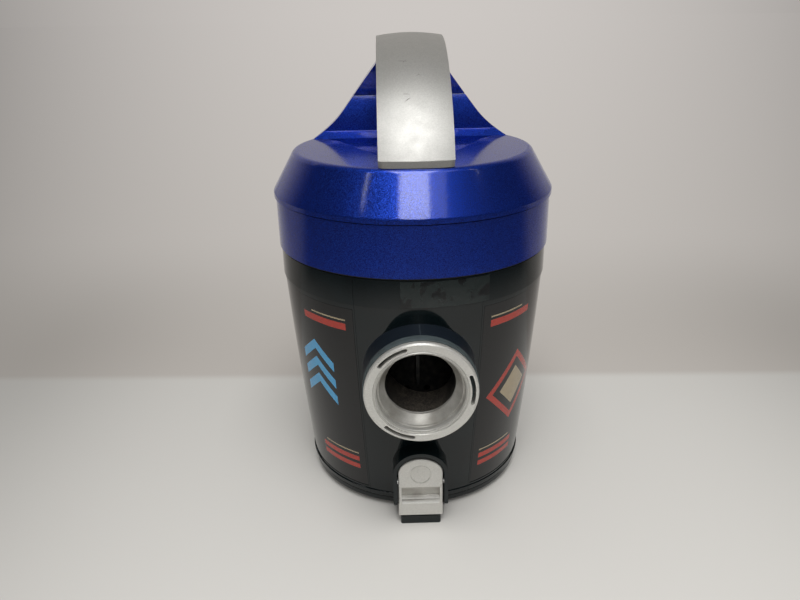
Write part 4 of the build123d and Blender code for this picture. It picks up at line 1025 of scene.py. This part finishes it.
    def direct_rays(self, tree):
        """1 for rays that come from the camera, a reflection or through a clear piece."""
        path = put(tree, "ShaderNodeLightPath")
        seen = put(
            tree,
            "ShaderNodeMath",
            MAXIMUM,
            {0: path.outputs["Is Camera Ray"], 1: path.outputs["Is Glossy Ray"]},
        )
        seen = put(
            tree, "ShaderNodeMath", MAXIMUM, {0: seen.outputs[0], 1: path.outputs["Is Transmission Ray"]}
        )
        return seen.outputs[0]

    def hang_lights(self, context):
        """Long soft panel overhead with a dimmer wing, a panel in front and a narrow strip on either side."""
        aim = Vector((0, 0, 0.2))
        # Name, place, width and length in metres, power in watts, and the point that it faces
        panels = (
            ("ceiling_panel", (0.0, -0.7, 1.3), (0.58, 1.1), 12.7, Vector((0.0, -0.7, 0.0))),
            ("ceiling_wing", (0.46, -0.775, 1.3), (0.34, 0.95), 1.0, Vector((0.46, -0.775, 0.0))),
            ("front_panel", (0.0, -1.5, 1.15), (0.5, 0.5), 2.6, aim),
            ("left_strip", (-0.67, -0.61, 1.06), (0.05, 0.22), 0.12, aim),
            ("right_strip", (0.81, -0.36, 1.02), (0.04, 0.26), 0.12, aim),
        )
        for name, place, size, watts, target in panels:
            lamp = bpy.data.lights.new(name, "AREA")
            lamp.shape = "RECTANGLE"
            lamp.size, lamp.size_y = size
            lamp.energy = watts
            holder = bpy.data.objects.new(name, lamp)
            context.collection.objects.link(holder)
            holder.location = place
            holder.rotation_euler = (target - Vector(place)).to_track_quat("-Z", "Y").to_euler()

    def surround(self, scene):
        """Pale surroundings, which reflections see as a light box that is open towards the camera."""
        colours = scene.container_colours
        world = bpy.data.worlds.new("light_box")
        world.use_nodes = True
        scene.world = world
        tree = world.node_tree
        tree.nodes.clear()
        way = put(tree, "ShaderNodeTexCoord").outputs["Generated"]
        axis = put(tree, "ShaderNodeSeparateXYZ", inputs={0: way})
        # Behind the container the sides fall off as the backdrop does.
        far = put(tree, "ShaderNodeMath", MAXIMUM, {0: axis.outputs["Y"], 1: 0.3})
        level = self.side_level(tree, axis.outputs["X"], far.outputs[0], -1.3)
        behind = put(
            tree, "ShaderNodeMapRange", SMOOTH, {0: axis.outputs["Y"], 1: 0.0, 2: 0.5, 3: 0.0, 4: 1.0}
        )
        level = put(
            tree, "ShaderNodeMix", {"data_type": "FLOAT"}, {0: behind.outputs[0], 2: SIDE_LEVEL, 3: level}
        )
        backdrop = put(
            tree,
            "ShaderNodeBackground",
            inputs={"Color": rgba(colours.backdrop_high), "Strength": level.outputs[0]},
        )
        closed = put(
            tree, "ShaderNodeMapRange", SMOOTH, {0: axis.outputs["Y"], 1: 0.25, 2: 0.8, 3: 0.0, 4: 1.0}
        )
        seen = put(
            tree, "ShaderNodeMix", BLEND, {0: closed.outputs[0], 6: rgba(ROOM), 7: rgba(linear("#B4AFAA"))}
        )
        box = put(tree, "ShaderNodeBackground", inputs={"Color": seen.outputs[2], "Strength": 1.0})
        fill = put(tree, "ShaderNodeBackground", inputs={"Color": rgba(linear("#E6E4E2")), "Strength": 0.5})
        lit = put(
            tree,
            "ShaderNodeMixShader",
            inputs={0: self.direct_rays(tree), 1: fill.outputs[0], 2: box.outputs[0]},
        )
        shown = put(
            tree,
            "ShaderNodeMixShader",
            inputs={
                0: put(tree, "ShaderNodeLightPath").outputs["Is Camera Ray"],
                1: lit.outputs[0],
                2: backdrop.outputs[0],
            },
        )
        put(tree, "ShaderNodeOutputWorld", inputs={"Surface": shown.outputs[0]})

    def place_camera(self, scene):
        """Camera a little above the lid, looking down at the container's front."""
        lens = bpy.data.cameras.new("front_camera")
        lens.lens = 31.5
        lens.sensor_width = 36.0
        lens.clip_start = 0.01
        camera = bpy.data.objects.new("front_camera", lens)
        scene.collection.objects.link(camera)
        level = math.cos(CAMERA_PITCH)
        look = Vector((math.sin(CAMERA_YAW) * level, math.cos(CAMERA_YAW) * level, -math.sin(CAMERA_PITCH)))
        turn = look.to_track_quat("-Z", "Y").to_matrix() @ Matrix.Rotation(CAMERA_ROLL, 3, "Z")
        stand = Matrix.Translation((-CAMERA_LEFT, -CAMERA_BACK, CAMERA_HEIGHT))
        camera.matrix_world = stand @ turn.to_4x4()
        scene.camera = camera


class CONTAINER_PT_sidebar(bpy.types.Panel):
    """Lists the container's steps."""

    bl_idname = "CONTAINER_PT_sidebar"
    bl_label = "Dust container"
    bl_space_type = "VIEW_3D"
    bl_region_type = "UI"
    bl_category = "Container"

    def draw(self, context):
        for step in STEPS:
            self.layout.operator(step.bl_idname)


STEPS = (
    CONTAINER_OT_blue_shells,
    CONTAINER_OT_silver_trim,
    CONTAINER_OT_smoked_cup,
    CONTAINER_OT_label_films,
    CONTAINER_OT_black_mouldings,
    CONTAINER_OT_rubber_seals,
    CONTAINER_OT_steel_fixings,
    CONTAINER_OT_filter_paper,
    CONTAINER_OT_push_ring,
    CONTAINER_OT_gasket_lip,
    CONTAINER_OT_mouth_liner,
    CONTAINER_OT_collar_film,
    CONTAINER_OT_stage,
)
CLASSES = (ContainerColours, ContainerSizes, *STEPS, CONTAINER_PT_sidebar)


def register():
    """Register the classes and hang the settings on the scene."""
    for cls in CLASSES:
        bpy.utils.register_class(cls)
    bpy.types.Scene.container_colours = bpy.props.PointerProperty(type=ContainerColours)
    bpy.types.Scene.container_sizes = bpy.props.PointerProperty(type=ContainerSizes)


def unregister():
    """Take the settings and the classes away again."""
    del bpy.types.Scene.container_sizes
    del bpy.types.Scene.container_colours
    for cls in reversed(CLASSES):
        bpy.utils.unregister_class(cls)


def main():
    register()
    for step in STEPS:
        group, name = step.bl_idname.split(".")
        getattr(getattr(bpy.ops, group), name)()


if __name__ == "__main__":
    main()
